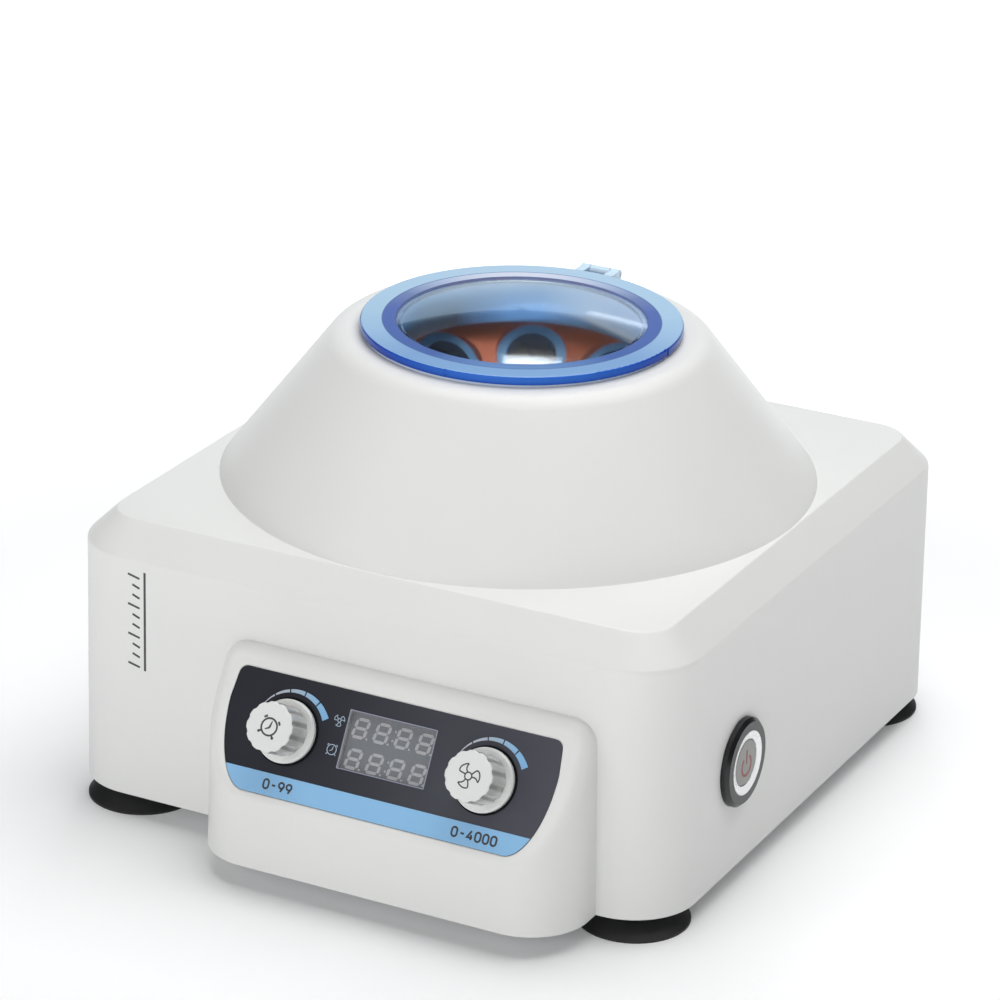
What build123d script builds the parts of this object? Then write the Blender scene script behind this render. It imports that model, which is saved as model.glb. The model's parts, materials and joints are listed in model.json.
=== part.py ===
from build123d import *
import math
import os

os.makedirs("parts", exist_ok=True)

# Benchtop laboratory centrifuge. Millimetres, +Z up, the console faces -Y, the power switch is on +X.
# The origin is on the floor, straight below the rotor's axis.

# Housing: a square box with a chamfered top edge, a cone on it and a console pod on the front.
FOOT_HEIGHT = 9.2
WALL = 3.0
HALF_WIDTH = 125.0
DRAFT = 0.9
CORNER_RADIUS = 24.4
CHAMFER_START_Z = 105.5
PLATEAU_Z = 116.4
CHAMFER = PLATEAU_Z - CHAMFER_START_Z
BOX_EDGE_RADIUS = 2.4
CONE_BASE_RADIUS = 113.4
CONE_TOP_RADIUS = 70.3
RIM_Z = 172.9
SHOULDER_RADIUS = 9.0
OPENING_RADIUS = 50.0
BOSS_OFFSET_X = 118.0
BOSS_OFFSET_Y = 72.0
BOSS_HEIGHT = 20.0

# Console pod, with a panel tilted back from vertical.
POD_CENTRE_X = 22.0
POD_HALF_WIDTH = 76.8
POD_FRONT_Y = -155.0
POD_CORNER_RADIUS = 23.4
POD_TOP_Z = 84.3
POD_DRAFT_DEG = 1.5
POD_BACK_Y = -115.0
POD_TOP_CORNER = 9.0
PANEL_EDGE_RADIUS = 6.0
PANEL_FOLD_Z = 37.4
PANEL_TILT = math.radians(29.17)

# Panel layout, measured in the panel's own plane from the fold line.
OVERLAY_THICKNESS = 0.5
OVERLAY_POCKET = 0.3
OVERLAY_BOTTOM = 2.0
OVERLAY_SIDE_START = 34.0
OVERLAY_TOP = 46.3
OVERLAY_HALF_WIDTH = 66.8
OVERLAY_SWEEP = 14.0
WINDOW_CENTRE = (21.4, 28.75)
WINDOW_SIZE = (35.6, 21.7)
KNOB_ROW = 26.3
TIME_X = -18.9
SPEED_X = 61.8
KNOB_SKIRT_RADIUS = 11.75
KNOB_GRIP_RADIUS = 9.3
KNOB_HEIGHT = 15.2
KNOB_FLUTES = 12
KNOB_FLUTE_START_DEG = -10.0
BOARD_TOP_N = -9.4
BOARD_THICKNESS = 1.6
BUSHING_HOLE_RADIUS = 3.7

# Rotor: eight sleeves leaning outward at the bottom.
SLEEVE_COUNT = 8
SLEEVE_PHASE_DEG = 21.6
SLEEVE_TILT = math.radians(38.0)
SEAT_RADIUS = 43.0
SEAT_Z = 147.4
SLEEVE_OUTER = 9.6
SLEEVE_BORE = 8.7
SLEEVE_LENGTH = 81.0
LIP_RADIUS = 13.4
LIP_HEIGHT = 2.8
SHAFT_RADIUS = 4.0
HUB_RADIUS = 15.0
HUB_TOP_Z = 126.5
ROTOR_SEAT_Z = 95.0

# Chamber and drive.
BOWL_RADIUS = 104.5
BOWL_THICKNESS = 1.5
BOWL_FLOOR_Z = 66.0
BOWL_RIM_Z = 116.0
BASE_THICKNESS = 2.0
BASE_TOP_Z = FOOT_HEIGHT + BASE_THICKNESS
MOTOR_RADIUS = 36.0
MOTOR_BOTTOM_Z = 16.0
MOTOR_TOP_Z = 56.0
MOTOR_PLATE_TOP_Z = 58.5
STANDOFF_OFFSET = 38.0
PILLAR_CIRCLE = 85.0

# Lid.
LID_RADIUS = 60.8
LID_BOTTOM_Z = 173.9
LID_TOP_Z = 177.3
WINDOW_RADIUS = 47.1
DOME_TOP_Z = 182.0
DOME_THICKNESS = 2.2
HINGE_Y = 66.5
HINGE_Z = 175.6
KNUCKLE_RADIUS = 2.2
HINGE_HALF_WIDTH = 8.0
BRACKET_HALF_WIDTH = 4.0
PIN_RADIUS = 1.0

# Power switch on the right wall and power inlet on the rear wall.
SWITCH_FACE_X = 125.35
SWITCH_Y = -64.8
SWITCH_Z = 51.0
SWITCH_RING_RADIUS = 12.05
SWITCH_RING_RISE = 3.3
BUTTON_RADIUS = 8.75
BUTTON_RISE = 2.6
INLET_FACE_Y = 125.35
INLET_X = 75.0
INLET_Z = 45.0

FOOT_X = 103.5
FOOT_Y = 104.4
FOOT_RADIUS = 21.0

panel = Plane(
    origin=(0, POD_FRONT_Y, PANEL_FOLD_Z),
    x_dir=(1, 0, 0),
    z_dir=(0, -math.cos(PANEL_TILT), math.sin(PANEL_TILT)),
)
switch_face = Plane(origin=(SWITCH_FACE_X, SWITCH_Y, SWITCH_Z), x_dir=(0, 1, 0), z_dir=(1, 0, 0))
inlet_face = Plane(origin=(INLET_X, INLET_FACE_Y, INLET_Z), x_dir=(-1, 0, 0), z_dir=(0, 1, 0))
hinge_side = Plane(origin=(0, HINGE_Y, HINGE_Z), x_dir=(0, 1, 0), z_dir=(1, 0, 0))
floor_corners = [(x, y) for x in (-1, 1) for y in (-1, 1)]
board_screw_places = [(x, y) for x in (-34, 78) for y in (14, 42)]
knob_places = [(TIME_X, KNOB_ROW), (SPEED_X, KNOB_ROW)]
hinge_screw_places = [(-2.4, HINGE_Y), (2.4, HINGE_Y)]


def seat_plane(index):
    """The flat seat of one sleeve: its normal is the sleeve's axis, pointing out of the mouth."""
    angle = math.radians(SLEEVE_PHASE_DEG + index * 360 / SLEEVE_COUNT)
    outward = (math.cos(angle), math.sin(angle))
    return Plane(
        origin=(SEAT_RADIUS * outward[0], SEAT_RADIUS * outward[1], SEAT_Z),
        x_dir=(-outward[1], outward[0], 0),
        z_dir=(
            -math.sin(SLEEVE_TILT) * outward[0],
            -math.sin(SLEEVE_TILT) * outward[1],
            math.cos(SLEEVE_TILT),
        ),
    )


def box_block(inset, edge_radius):
    """The square box of the housing, drafted and chamfered, with every face moved in by inset."""
    top_z = PLATEAU_Z - inset
    side = 2 * (HALF_WIDTH + DRAFT - inset)
    draft_deg = math.degrees(math.atan(DRAFT / (CHAMFER_START_Z - FOOT_HEIGHT)))
    # A 45 degree face moved in by inset leaves the chamfer shorter by inset * (2 - sqrt 2).
    chamfer_size = CHAMFER - inset * (2 - math.sqrt(2))
    with BuildPart() as block:
        with BuildSketch(Plane.XY.offset(FOOT_HEIGHT)):
            RectangleRounded(side, side, CORNER_RADIUS + DRAFT - inset)
        extrude(amount=top_z - FOOT_HEIGHT, taper=draft_deg)
        chamfer(block.faces().sort_by(Axis.Z)[-1].edges(), chamfer_size)
        if edge_radius > 0:
            fillet(block.edges().filter_by(Plane.XY).group_by(Axis.Z)[1], edge_radius)
            fillet(block.faces().sort_by(Axis.Z)[-1].edges(), edge_radius / 2)
    return block.part


def cone_block(inset):
    """The cone that carries the lid, with its rounded shoulder."""
    slope = (CONE_BASE_RADIUS - CONE_TOP_RADIUS) / (RIM_Z - PLATEAU_Z)
    side_inset = inset * math.sqrt(1 + slope * slope)
    base_z = PLATEAU_Z - WALL - 1
    base_radius = CONE_BASE_RADIUS - side_inset
    top_z = RIM_Z - inset
    top_radius = CONE_TOP_RADIUS + slope * inset - side_inset
    with BuildPart() as block:
        with BuildSketch(Plane.XZ) as profile:
            with BuildLine():
                Polyline(
                    (0, base_z),
                    (base_radius, base_z),
                    (base_radius, PLATEAU_Z),
                    (top_radius, top_z),
                    (0, top_z),
                    close=True,
                )
            make_face()
            shoulder = profile.vertices().sort_by(Axis.X).filter_by(
                lambda v: abs(v.X - top_radius) < 0.01
            )
            fillet(shoulder, SHOULDER_RADIUS - inset)
        revolve(axis=Axis.Z)
    return block.part


def pod_block(inset, top_corner, edge_radius):
    """The console pod: a block with round front corners, cut back by the tilted panel."""
    half = POD_HALF_WIDTH - inset
    front = POD_FRONT_Y + inset - 0.7
    depth = POD_BACK_Y - front
    with BuildPart() as block:
        with BuildSketch(Plane.XY.offset(FOOT_HEIGHT)) as outline:
            with Locations((POD_CENTRE_X, front + depth / 2)):
                Rectangle(2 * half, depth)
            fillet(
                outline.vertices().group_by(Axis.Y)[0],
                POD_CORNER_RADIUS - inset,
            )
        extrude(amount=POD_TOP_Z - inset - FOOT_HEIGHT, taper=POD_DRAFT_DEG)
        top_sides = block.faces().sort_by(Axis.Z)[-1].edges().filter_by(Axis.Y)
        fillet(top_sides, top_corner)
        split(bisect_by=panel.offset(-inset), keep=Keep.BOTTOM)
        if edge_radius > 0:
            tilted = block.faces().filter_by(lambda f: abs(f.normal_at().dot(panel.z_dir) - 1) < 1e-4)
            fillet(tilted[0].edges(), edge_radius)
    return block.part


def overlay_outline(grow):
    """Sketch the membrane's outline: straight top, sweeping elliptical lower corners."""
    side = OVERLAY_HALF_WIDTH + grow
    sweep = OVERLAY_SWEEP + grow
    depth = OVERLAY_SIDE_START - OVERLAY_BOTTOM + grow
    top = OVERLAY_TOP + grow
    with BuildSketch() as outline:
        with BuildLine():
            right = EllipticalCenterArc(
                (side - sweep, OVERLAY_SIDE_START), sweep, depth, start_angle=-90, arc_size=90
            )
            left = EllipticalCenterArc(
                (sweep - side, OVERLAY_SIDE_START), sweep, depth, start_angle=180, arc_size=90
            )
            Line(left @ 1, right @ 0)
            Line(right @ 1, (side - 1.4, top))
            Line((side - 1.4, top), (1.4 - side, top))
            Line((1.4 - side, top), left @ 0)
        make_face()
        fillet(outline.vertices().group_by(Axis.Y)[-1], 3.4)
    return outline.sketch.moved(Location((POD_CENTRE_X, 0, 0)))


outer_box = box_block(0, BOX_EDGE_RADIUS)
inner_box = box_block(WALL, 0)
outer_cone = cone_block(0)
inner_cone = cone_block(WALL)
outer_pod = pod_block(0, POD_TOP_CORNER, PANEL_EDGE_RADIUS)
inner_pod = pod_block(WALL, POD_TOP_CORNER - 1, 0)

# ---------------------------------------------------------------- housing and base

with BuildPart() as upper_housing:
    add(outer_box)
    add(outer_cone)
    add(outer_pod)
    add(inner_box, mode=Mode.SUBTRACT)
    add(inner_cone, mode=Mode.SUBTRACT)
    add(inner_pod, mode=Mode.SUBTRACT)
    # Screw bosses against the side walls, and posts for the display board.
    with BuildSketch(Plane.XY.offset(BASE_TOP_Z)):
        for sx, sy in floor_corners:
            with Locations((sx * BOSS_OFFSET_X, sy * BOSS_OFFSET_Y)):
                Circle(5.6)
    extrude(amount=BOSS_HEIGHT)
    with BuildSketch(panel.offset(BOARD_TOP_N)):
        with Locations(*board_screw_places):
            Circle(2.8)
    extrude(amount=-BOARD_TOP_N - WALL + 0.5)
    with BuildSketch(panel.offset(BOARD_TOP_N)):
        with Locations(*board_screw_places):
            Circle(1.1)
    extrude(amount=6.0, mode=Mode.SUBTRACT)
    with BuildSketch(Plane.XY.offset(BASE_TOP_Z)):
        for sx, sy in floor_corners:
            with Locations((sx * BOSS_OFFSET_X, sy * BOSS_OFFSET_Y)):
                Circle(1.7)
    extrude(amount=BOSS_HEIGHT - 4, mode=Mode.SUBTRACT)
    # Chamber opening at the top of the cone.
    with BuildSketch(Plane.XY.offset(RIM_Z - 12)):
        Circle(OPENING_RADIUS)
    extrude(amount=20, mode=Mode.SUBTRACT)
    # Pocket for the hinge bracket.
    with BuildSketch(Plane.XY.offset(RIM_Z - 1.5)):
        with Locations((0, HINGE_Y)):
            Rectangle(2 * BRACKET_HALF_WIDTH + 2, 9.6)
    extrude(amount=6, mode=Mode.SUBTRACT)
    with BuildSketch(Plane.XY.offset(RIM_Z - 8)):
        with Locations(*hinge_screw_places):
            Circle(1.1)
    extrude(amount=8, mode=Mode.SUBTRACT)
    with BuildSketch(Plane.XY.offset(RIM_Z - WALL)):
        with Locations(*hinge_screw_places):
            Circle(2.1)
    extrude(amount=-9, mode=Mode.SUBTRACT)
    # Flat seat and hole for the power switch.
    with BuildSketch(switch_face):
        Circle(17.0)
    extrude(amount=2, mode=Mode.SUBTRACT)
    with BuildSketch(switch_face.offset(-6)):
        Circle(11.1)
    extrude(amount=8, mode=Mode.SUBTRACT)
    # Flat seat, cut-out and screw holes for the power inlet.
    with BuildSketch(inlet_face):
        Rectangle(51, 31)
    extrude(amount=2, mode=Mode.SUBTRACT)
    with BuildSketch(inlet_face.offset(-6)):
        Rectangle(28, 24.6)
        with Locations((-20, 0), (20, 0)):
            Circle(1.7)
    extrude(amount=8, mode=Mode.SUBTRACT)
    # Panel: pocket for the membrane, display aperture and two bushing holes.
    with BuildSketch(panel.offset(-OVERLAY_POCKET)):
        add(overlay_outline(0.25))
    extrude(amount=3, mode=Mode.SUBTRACT)
    with BuildSketch(panel.offset(-WALL - 1)):
        with Locations(WINDOW_CENTRE):
            Rectangle(WINDOW_SIZE[0] + 0.4, WINDOW_SIZE[1] + 0.4)
        with Locations(*knob_places):
            Circle(BUSHING_HOLE_RADIUS)
    extrude(amount=WALL + 2, mode=Mode.SUBTRACT)
upper_housing.part.label = "upper_housing"
export_step(upper_housing.part, "parts/upper_housing.step")

with BuildPart() as base_plate:
    plate_half = HALF_WIDTH + DRAFT - WALL - 0.5
    with BuildSketch(Plane.XY.offset(FOOT_HEIGHT)) as plate_outline:
        RectangleRounded(2 * plate_half, 2 * plate_half, CORNER_RADIUS - WALL)
        pod_half = POD_HALF_WIDTH - WALL - 0.5
        pod_depth = 60.0
        with BuildSketch(mode=Mode.PRIVATE) as pod_floor:
            Rectangle(2 * pod_half, pod_depth)
            fillet(pod_floor.vertices().group_by(Axis.Y)[0], POD_CORNER_RADIUS - WALL)
        with Locations((POD_CENTRE_X, POD_FRONT_Y + WALL + pod_depth / 2)):
            add(pod_floor.sketch)
        with Locations(*[(sx * BOSS_OFFSET_X, sy * BOSS_OFFSET_Y) for sx, sy in floor_corners]):
            Circle(2.1, mode=Mode.SUBTRACT)
        with Locations(*[(sx * FOOT_X, sy * FOOT_Y) for sx, sy in floor_corners]):
            Circle(2.4, mode=Mode.SUBTRACT)
        # Cooling slots below the motor.
        with PolarLocations(24, 12):
            SlotOverall(14, 3.2, mode=Mode.SUBTRACT)
        with PolarLocations(66, 24, start_angle=7.5):
            SlotOverall(14, 3.2, mode=Mode.SUBTRACT)
    extrude(amount=BASE_THICKNESS)
base_plate.part.label = "base_plate"
export_step(base_plate.part, "parts/base_plate.step")

with BuildPart() as base_screws:
    for sx, sy in floor_corners:
        with Locations((sx * BOSS_OFFSET_X, sy * BOSS_OFFSET_Y, 0)):
            with Locations((0, 0, FOOT_HEIGHT - 1.2)):
                Cylinder(3.6, 2.4)
            with Locations((0, 0, FOOT_HEIGHT + 7)):
                Cylinder(1.65, 14)
base_screws.part.label = "base_screws"
export_step(base_screws.part, "parts/base_screws.step")

with BuildPart() as foot_blank:
    with BuildSketch(Plane.XZ) as foot_profile:
        with BuildLine():
            # Cup with a thin flared rim, a waist and a wide flat top.
            Polyline((2.35, FOOT_HEIGHT), (13.0, FOOT_HEIGHT), (13.0, 6.6), (15.6, 5.4))
            ThreePointArc((15.6, 5.4), (18.6, 3.2), (FOOT_RADIUS, 0.9))
            Polyline((FOOT_RADIUS, 0.9), (FOOT_RADIUS, 0.0), (18.6, 0.0))
            ThreePointArc((18.6, 0.0), (10.5, 2.6), (2.35, 3.4))
            Line((2.35, 3.4), (2.35, FOOT_HEIGHT))
        make_face()
    revolve(axis=Axis.Z)

with BuildPart() as suction_feet:
    for sx, sy in floor_corners:
        add(foot_blank.part.moved(Location((sx * FOOT_X, sy * FOOT_Y, 0))))
suction_feet.part.label = "suction_feet"
export_step(suction_feet.part, "parts/suction_feet.step")

with BuildPart() as foot_screws:
    for sx, sy in floor_corners:
        with Locations((sx * FOOT_X, sy * FOOT_Y, BASE_TOP_Z + 1.4)):
            Cylinder(4.2, 2.8)
        with Locations((sx * FOOT_X, sy * FOOT_Y, (4.4 + BASE_TOP_Z) / 2)):
            Cylinder(2.25, BASE_TOP_Z - 4.4)
foot_screws.part.label = "foot_screws"
export_step(foot_screws.part, "parts/foot_screws.step")

# ---------------------------------------------------------------- chamber

with BuildPart() as chamber_bowl:
    with BuildSketch(Plane.XZ) as bowl_profile:
        with BuildLine():
            Polyline(
                (14.0, BOWL_FLOOR_Z - BOWL_THICKNESS),
                (BOWL_RADIUS + BOWL_THICKNESS, BOWL_FLOOR_Z - BOWL_THICKNESS),
                (BOWL_RADIUS + BOWL_THICKNESS, BOWL_RIM_Z),
                (BOWL_RADIUS, BOWL_RIM_Z),
                (BOWL_RADIUS, BOWL_FLOOR_Z),
                (14.0, BOWL_FLOOR_Z),
                close=True,
            )
        make_face()
        low_corners = bowl_profile.vertices().filter_by(lambda v: v.X > 100 and v.Y < 70)
        fillet(low_corners.sort_by(Axis.X)[0], 8.0)
        fillet(bowl_profile.vertices().sort_by(Axis.X)[-2:].sort_by(Axis.Y)[0], 9.5)
    revolve(axis=Axis.Z)
    with BuildSketch(Plane.XY.offset(BOWL_FLOOR_Z - BOWL_THICKNESS - 1)):
        with PolarLocations(PILLAR_CIRCLE, 4):
            Circle(2.2)
    extrude(amount=BOWL_THICKNESS + 2, mode=Mode.SUBTRACT)
chamber_bowl.part.label = "chamber_bowl"
export_step(chamber_bowl.part, "parts/chamber_bowl.step")

with BuildPart() as bowl_gasket:
    with BuildSketch(Plane.XZ):
        with BuildLine():
            # A lip on the bowl's rim that leans on the inside of the cone.
            Polyline(
                (BOWL_RADIUS, BOWL_RIM_Z),
                (BOWL_RADIUS + 4.0, BOWL_RIM_Z),
                (BOWL_RADIUS + 3.2, BOWL_RIM_Z + 2.4),
                (BOWL_RADIUS, BOWL_RIM_Z + 1.6),
                close=True,
            )
        make_face()
    revolve(axis=Axis.Z)
bowl_gasket.part.label = "bowl_gasket"
export_step(bowl_gasket.part, "parts/bowl_gasket.step")

pillar_height = BOWL_FLOOR_Z - BOWL_THICKNESS - BASE_TOP_Z
with BuildPart() as bowl_standoffs:
    with BuildSketch(Plane.XY.offset(BASE_TOP_Z)):
        with PolarLocations(PILLAR_CIRCLE, 4):
            RegularPolygon(5.2, 6)
    extrude(amount=pillar_height)
    with BuildSketch(Plane.XY.offset(BASE_TOP_Z + pillar_height)):
        with PolarLocations(PILLAR_CIRCLE, 4):
            Circle(2.05)
    extrude(amount=-14, mode=Mode.SUBTRACT)
bowl_standoffs.part.label = "bowl_standoffs"
export_step(bowl_standoffs.part, "parts/bowl_standoffs.step")

with BuildPart() as bowl_screws:
    with BuildSketch(Plane.XY.offset(BOWL_FLOOR_Z)):
        with PolarLocations(PILLAR_CIRCLE, 4):
            Circle(4.0)
    extrude(amount=2.4)
    with BuildSketch(Plane.XY.offset(BOWL_FLOOR_Z)):
        with PolarLocations(PILLAR_CIRCLE, 4):
            Circle(2.0)
    extrude(amount=-13)
bowl_screws.part.label = "bowl_screws"
export_step(bowl_screws.part, "parts/bowl_screws.step")

with BuildPart() as shaft_seal:
    with BuildSketch(Plane.XZ):
        with BuildLine():
            Polyline(
                (4.6, BOWL_FLOOR_Z - BOWL_THICKNESS),
                (13.9, BOWL_FLOOR_Z - BOWL_THICKNESS),
                (13.9, BOWL_FLOOR_Z),
                (17.0, BOWL_FLOOR_Z),
                (15.0, BOWL_FLOOR_Z + 1.6),
                (7.0, BOWL_FLOOR_Z + 2.4),
                (4.6, BOWL_FLOOR_Z + 5.0),
                close=True,
            )
        make_face()
    revolve(axis=Axis.Z)
shaft_seal.part.label = "shaft_seal"
export_step(shaft_seal.part, "parts/shaft_seal.step")

# ---------------------------------------------------------------- motor and its mounting

standoff_places = [(sx * STANDOFF_OFFSET, sy * STANDOFF_OFFSET) for sx, sy in floor_corners]
damper_bottom_z = 44.0
with BuildPart() as motor_standoffs:
    with BuildSketch(Plane.XY.offset(BASE_TOP_Z)):
        with Locations(*standoff_places):
            Circle(5.0)
    extrude(amount=damper_bottom_z - BASE_TOP_Z)
    with BuildSketch(Plane.XY.offset(damper_bottom_z)):
        with Locations(*standoff_places):
            Circle(2.05)
    extrude(amount=-16, mode=Mode.SUBTRACT)
motor_standoffs.part.label = "motor_standoffs"
export_step(motor_standoffs.part, "parts/motor_standoffs.step")

with BuildPart() as damper_blank:
    with BuildSketch(Plane.XZ):
        with BuildLine():
            # Rubber bobbin with a waist.
            Polyline((2.1, damper_bottom_z), (7.4, damper_bottom_z), (7.4, damper_bottom_z + 2.5))
            ThreePointArc(
                (7.4, damper_bottom_z + 2.5),
                (5.8, (damper_bottom_z + MOTOR_TOP_Z) / 2),
                (7.4, MOTOR_TOP_Z - 2.5),
            )
            Polyline((7.4, MOTOR_TOP_Z - 2.5), (7.4, MOTOR_TOP_Z), (2.1, MOTOR_TOP_Z))
            Line((2.1, MOTOR_TOP_Z), (2.1, damper_bottom_z))
        make_face()
    revolve(axis=Axis.Z)

with BuildPart() as motor_dampers:
    for x, y in standoff_places:
        add(damper_blank.part.moved(Location((x, y, 0))))
motor_dampers.part.label = "motor_dampers"
export_step(motor_dampers.part, "parts/motor_dampers.step")

with BuildPart() as motor_plate:
    with BuildSketch(Plane.XY.offset(MOTOR_TOP_Z)):
        RectangleRounded(96, 96, 12)
        Circle(10.5, mode=Mode.SUBTRACT)
        with Locations(*standoff_places):
            Circle(2.2, mode=Mode.SUBTRACT)
        with PolarLocations(22, 4):
            Circle(1.7, mode=Mode.SUBTRACT)
    extrude(amount=MOTOR_PLATE_TOP_Z - MOTOR_TOP_Z)
motor_plate.part.label = "motor_plate"
export_step(motor_plate.part, "parts/motor_plate.step")

with BuildPart() as motor_bolts:
    with BuildSketch(Plane.XY.offset(MOTOR_PLATE_TOP_Z)):
        with Locations(*standoff_places):
            RegularPolygon(4.0, 6)
    extrude(amount=2.6)
    with BuildSketch(Plane.XY.offset(MOTOR_PLATE_TOP_Z)):
        with Locations(*standoff_places):
            Circle(2.0)
    extrude(amount=-26)
motor_bolts.part.label = "motor_bolts"
export_step(motor_bolts.part, "parts/motor_bolts.step")

bearing_radius = 9.0
end_cap_top_z = MOTOR_BOTTOM_Z + 6.0
with BuildPart() as motor_can:
    with BuildSketch(Plane.XY.offset(end_cap_top_z)):
        Circle(MOTOR_RADIUS)
    extrude(amount=MOTOR_TOP_Z - end_cap_top_z)
    with BuildSketch(Plane.XY.offset(end_cap_top_z)):
        Circle(MOTOR_RADIUS - 2.5)
    extrude(amount=MOTOR_TOP_Z - end_cap_top_z - 6, mode=Mode.SUBTRACT)
    with BuildSketch(Plane.XY.offset(MOTOR_TOP_Z - 8)):
        Circle(bearing_radius + 0.02)
        with PolarLocations(22, 4):
            Circle(1.55)
    extrude(amount=10, mode=Mode.SUBTRACT)
motor_can.part.label = "motor_can"
export_step(motor_can.part, "parts/motor_can.step")

with BuildPart() as motor_end_cap:
    with BuildSketch(Plane.XY.offset(MOTOR_BOTTOM_Z)):
        Circle(MOTOR_RADIUS)
    extrude(amount=end_cap_top_z - MOTOR_BOTTOM_Z)
    fillet(motor_end_cap.faces().sort_by(Axis.Z)[0].edges(), 2.0)
    with BuildSketch(Plane.XY.offset(MOTOR_BOTTOM_Z + 1.5)):
        Circle(bearing_radius + 0.02)
    extrude(amount=6, mode=Mode.SUBTRACT)
motor_end_cap.part.label = "motor_end_cap"
export_step(motor_end_cap.part, "parts/motor_end_cap.step")

with BuildPart() as motor_magnets:
    # Four curved magnets with gaps between them, against the inside of the can.
    with BuildSketch(Plane.XY.offset(end_cap_top_z + 3)):
        Circle(MOTOR_RADIUS - 2.55)
        Circle(MOTOR_RADIUS - 6.5, mode=Mode.SUBTRACT)
        Rectangle(2 * MOTOR_RADIUS, 6, mode=Mode.SUBTRACT)
        Rectangle(6, 2 * MOTOR_RADIUS, mode=Mode.SUBTRACT)
    extrude(amount=22)
motor_magnets.part.label = "motor_magnets"
export_step(motor_magnets.part, "parts/motor_magnets.step")

with BuildPart() as motor_armature:
    with BuildSketch(Plane.XY.offset(end_cap_top_z + 4)):
        Circle(28.6)
        with PolarLocations(26, 12):
            Rectangle(8, 2.4, mode=Mode.SUBTRACT)
        Circle(SHAFT_RADIUS + 0.02, mode=Mode.SUBTRACT)
    extrude(amount=20)
    # Commutator above the laminations.
    with BuildSketch(Plane.XY.offset(end_cap_top_z + 24)):
        Circle(9.5)
        Circle(SHAFT_RADIUS + 0.02, mode=Mode.SUBTRACT)
    extrude(amount=3)
motor_armature.part.label = "motor_armature"
export_step(motor_armature.part, "parts/motor_armature.step")

with BuildPart() as motor_bearings:
    for bottom_z in (MOTOR_BOTTOM_Z + 1.5, MOTOR_TOP_Z - 4.0):
        with BuildSketch(Plane.XY.offset(bottom_z)):
            Circle(bearing_radius)
            Circle(SHAFT_RADIUS + 0.05, mode=Mode.SUBTRACT)
        extrude(amount=4.0)
motor_bearings.part.label = "motor_bearings"
export_step(motor_bearings.part, "parts/motor_bearings.step")

with BuildPart() as motor_screws:
    with BuildSketch(Plane.XY.offset(MOTOR_PLATE_TOP_Z)):
        with PolarLocations(22, 4):
            Circle(2.8)
    extrude(amount=1.8)
    with BuildSketch(Plane.XY.offset(MOTOR_PLATE_TOP_Z)):
        with PolarLocations(22, 4):
            Circle(1.5)
    extrude(amount=-7)
motor_screws.part.label = "motor_screws"
export_step(motor_screws.part, "parts/motor_screws.step")

thread_top_z = HUB_TOP_Z + 8.5
with BuildPart() as drive_shaft:
    with BuildSketch(Plane.XZ):
        with BuildLine():
            Polyline(
                (0, MOTOR_BOTTOM_Z + 1.6),
                (SHAFT_RADIUS, MOTOR_BOTTOM_Z + 1.6),
                (SHAFT_RADIUS, ROTOR_SEAT_Z - 3),
                (6.6, ROTOR_SEAT_Z - 3),
                (6.6, ROTOR_SEAT_Z),
                (SHAFT_RADIUS, ROTOR_SEAT_Z),
                (SHAFT_RADIUS, HUB_TOP_Z - 0.5),
                (3.0, HUB_TOP_Z - 0.5),
                (3.0, thread_top_z),
                (0, thread_top_z),
                close=True,
            )
        make_face()
    revolve(axis=Axis.Z)
drive_shaft.part.label = "drive_shaft"
export_step(drive_shaft.part, "parts/drive_shaft.step")

# ---------------------------------------------------------------- rotor


def funnel_z(radius):
    """Height of the rotor's upper face, which falls towards the axis."""
    return SEAT_Z + (radius - SEAT_RADIUS) * math.tan(SLEEVE_TILT)


plate_drop = 5.0 / math.cos(SLEEVE_TILT)
rim_radius = 54.5
skirt_radius = 98.5
disc_bottom_z = 99.0
disc_top_z = 103.0
with BuildPart() as rotor:
    with BuildSketch(Plane.XZ):
        with BuildLine():
            Polyline(
                (SHAFT_RADIUS + 0.03, ROTOR_SEAT_Z),
                (HUB_RADIUS, ROTOR_SEAT_Z),
                (HUB_RADIUS, disc_bottom_z),
                (skirt_radius, disc_bottom_z),
                (skirt_radius, disc_top_z),
                (rim_radius + 2.5, funnel_z(rim_radius)),
                (rim_radius, funnel_z(rim_radius) + 0.8),
                (HUB_RADIUS, funnel_z(HUB_RADIUS) + 0.8),
                (HUB_RADIUS, HUB_TOP_Z),
                (SHAFT_RADIUS + 0.03, HUB_TOP_Z),
                close=True,
            )
        make_face()
    revolve(axis=Axis.Z)
    # Hollow between the hub, the skirt, the funnel plate and the lower disc.
    with BuildSketch(Plane.XZ):
        with BuildLine():
            Polyline(
                (HUB_RADIUS, disc_top_z),
                (skirt_radius - 6.0, disc_top_z),
                (rim_radius - 1.0, funnel_z(rim_radius - 1.0) - plate_drop),
                (HUB_RADIUS, funnel_z(HUB_RADIUS) - plate_drop),
                close=True,
            )
        make_face()
    revolve(axis=Axis.Z, mode=Mode.SUBTRACT)
    for index in range(SLEEVE_COUNT):
        with BuildSketch(seat_plane(index)):
            Circle(LIP_RADIUS + 0.4)
        extrude(amount=8, mode=Mode.SUBTRACT)
        with BuildSketch(seat_plane(index)):
            Circle(SLEEVE_OUTER + 0.2)
        extrude(amount=-SLEEVE_LENGTH, mode=Mode.SUBTRACT)
rotor.part.label = "rotor"
export_step(rotor.part, "parts/rotor.step")

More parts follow.
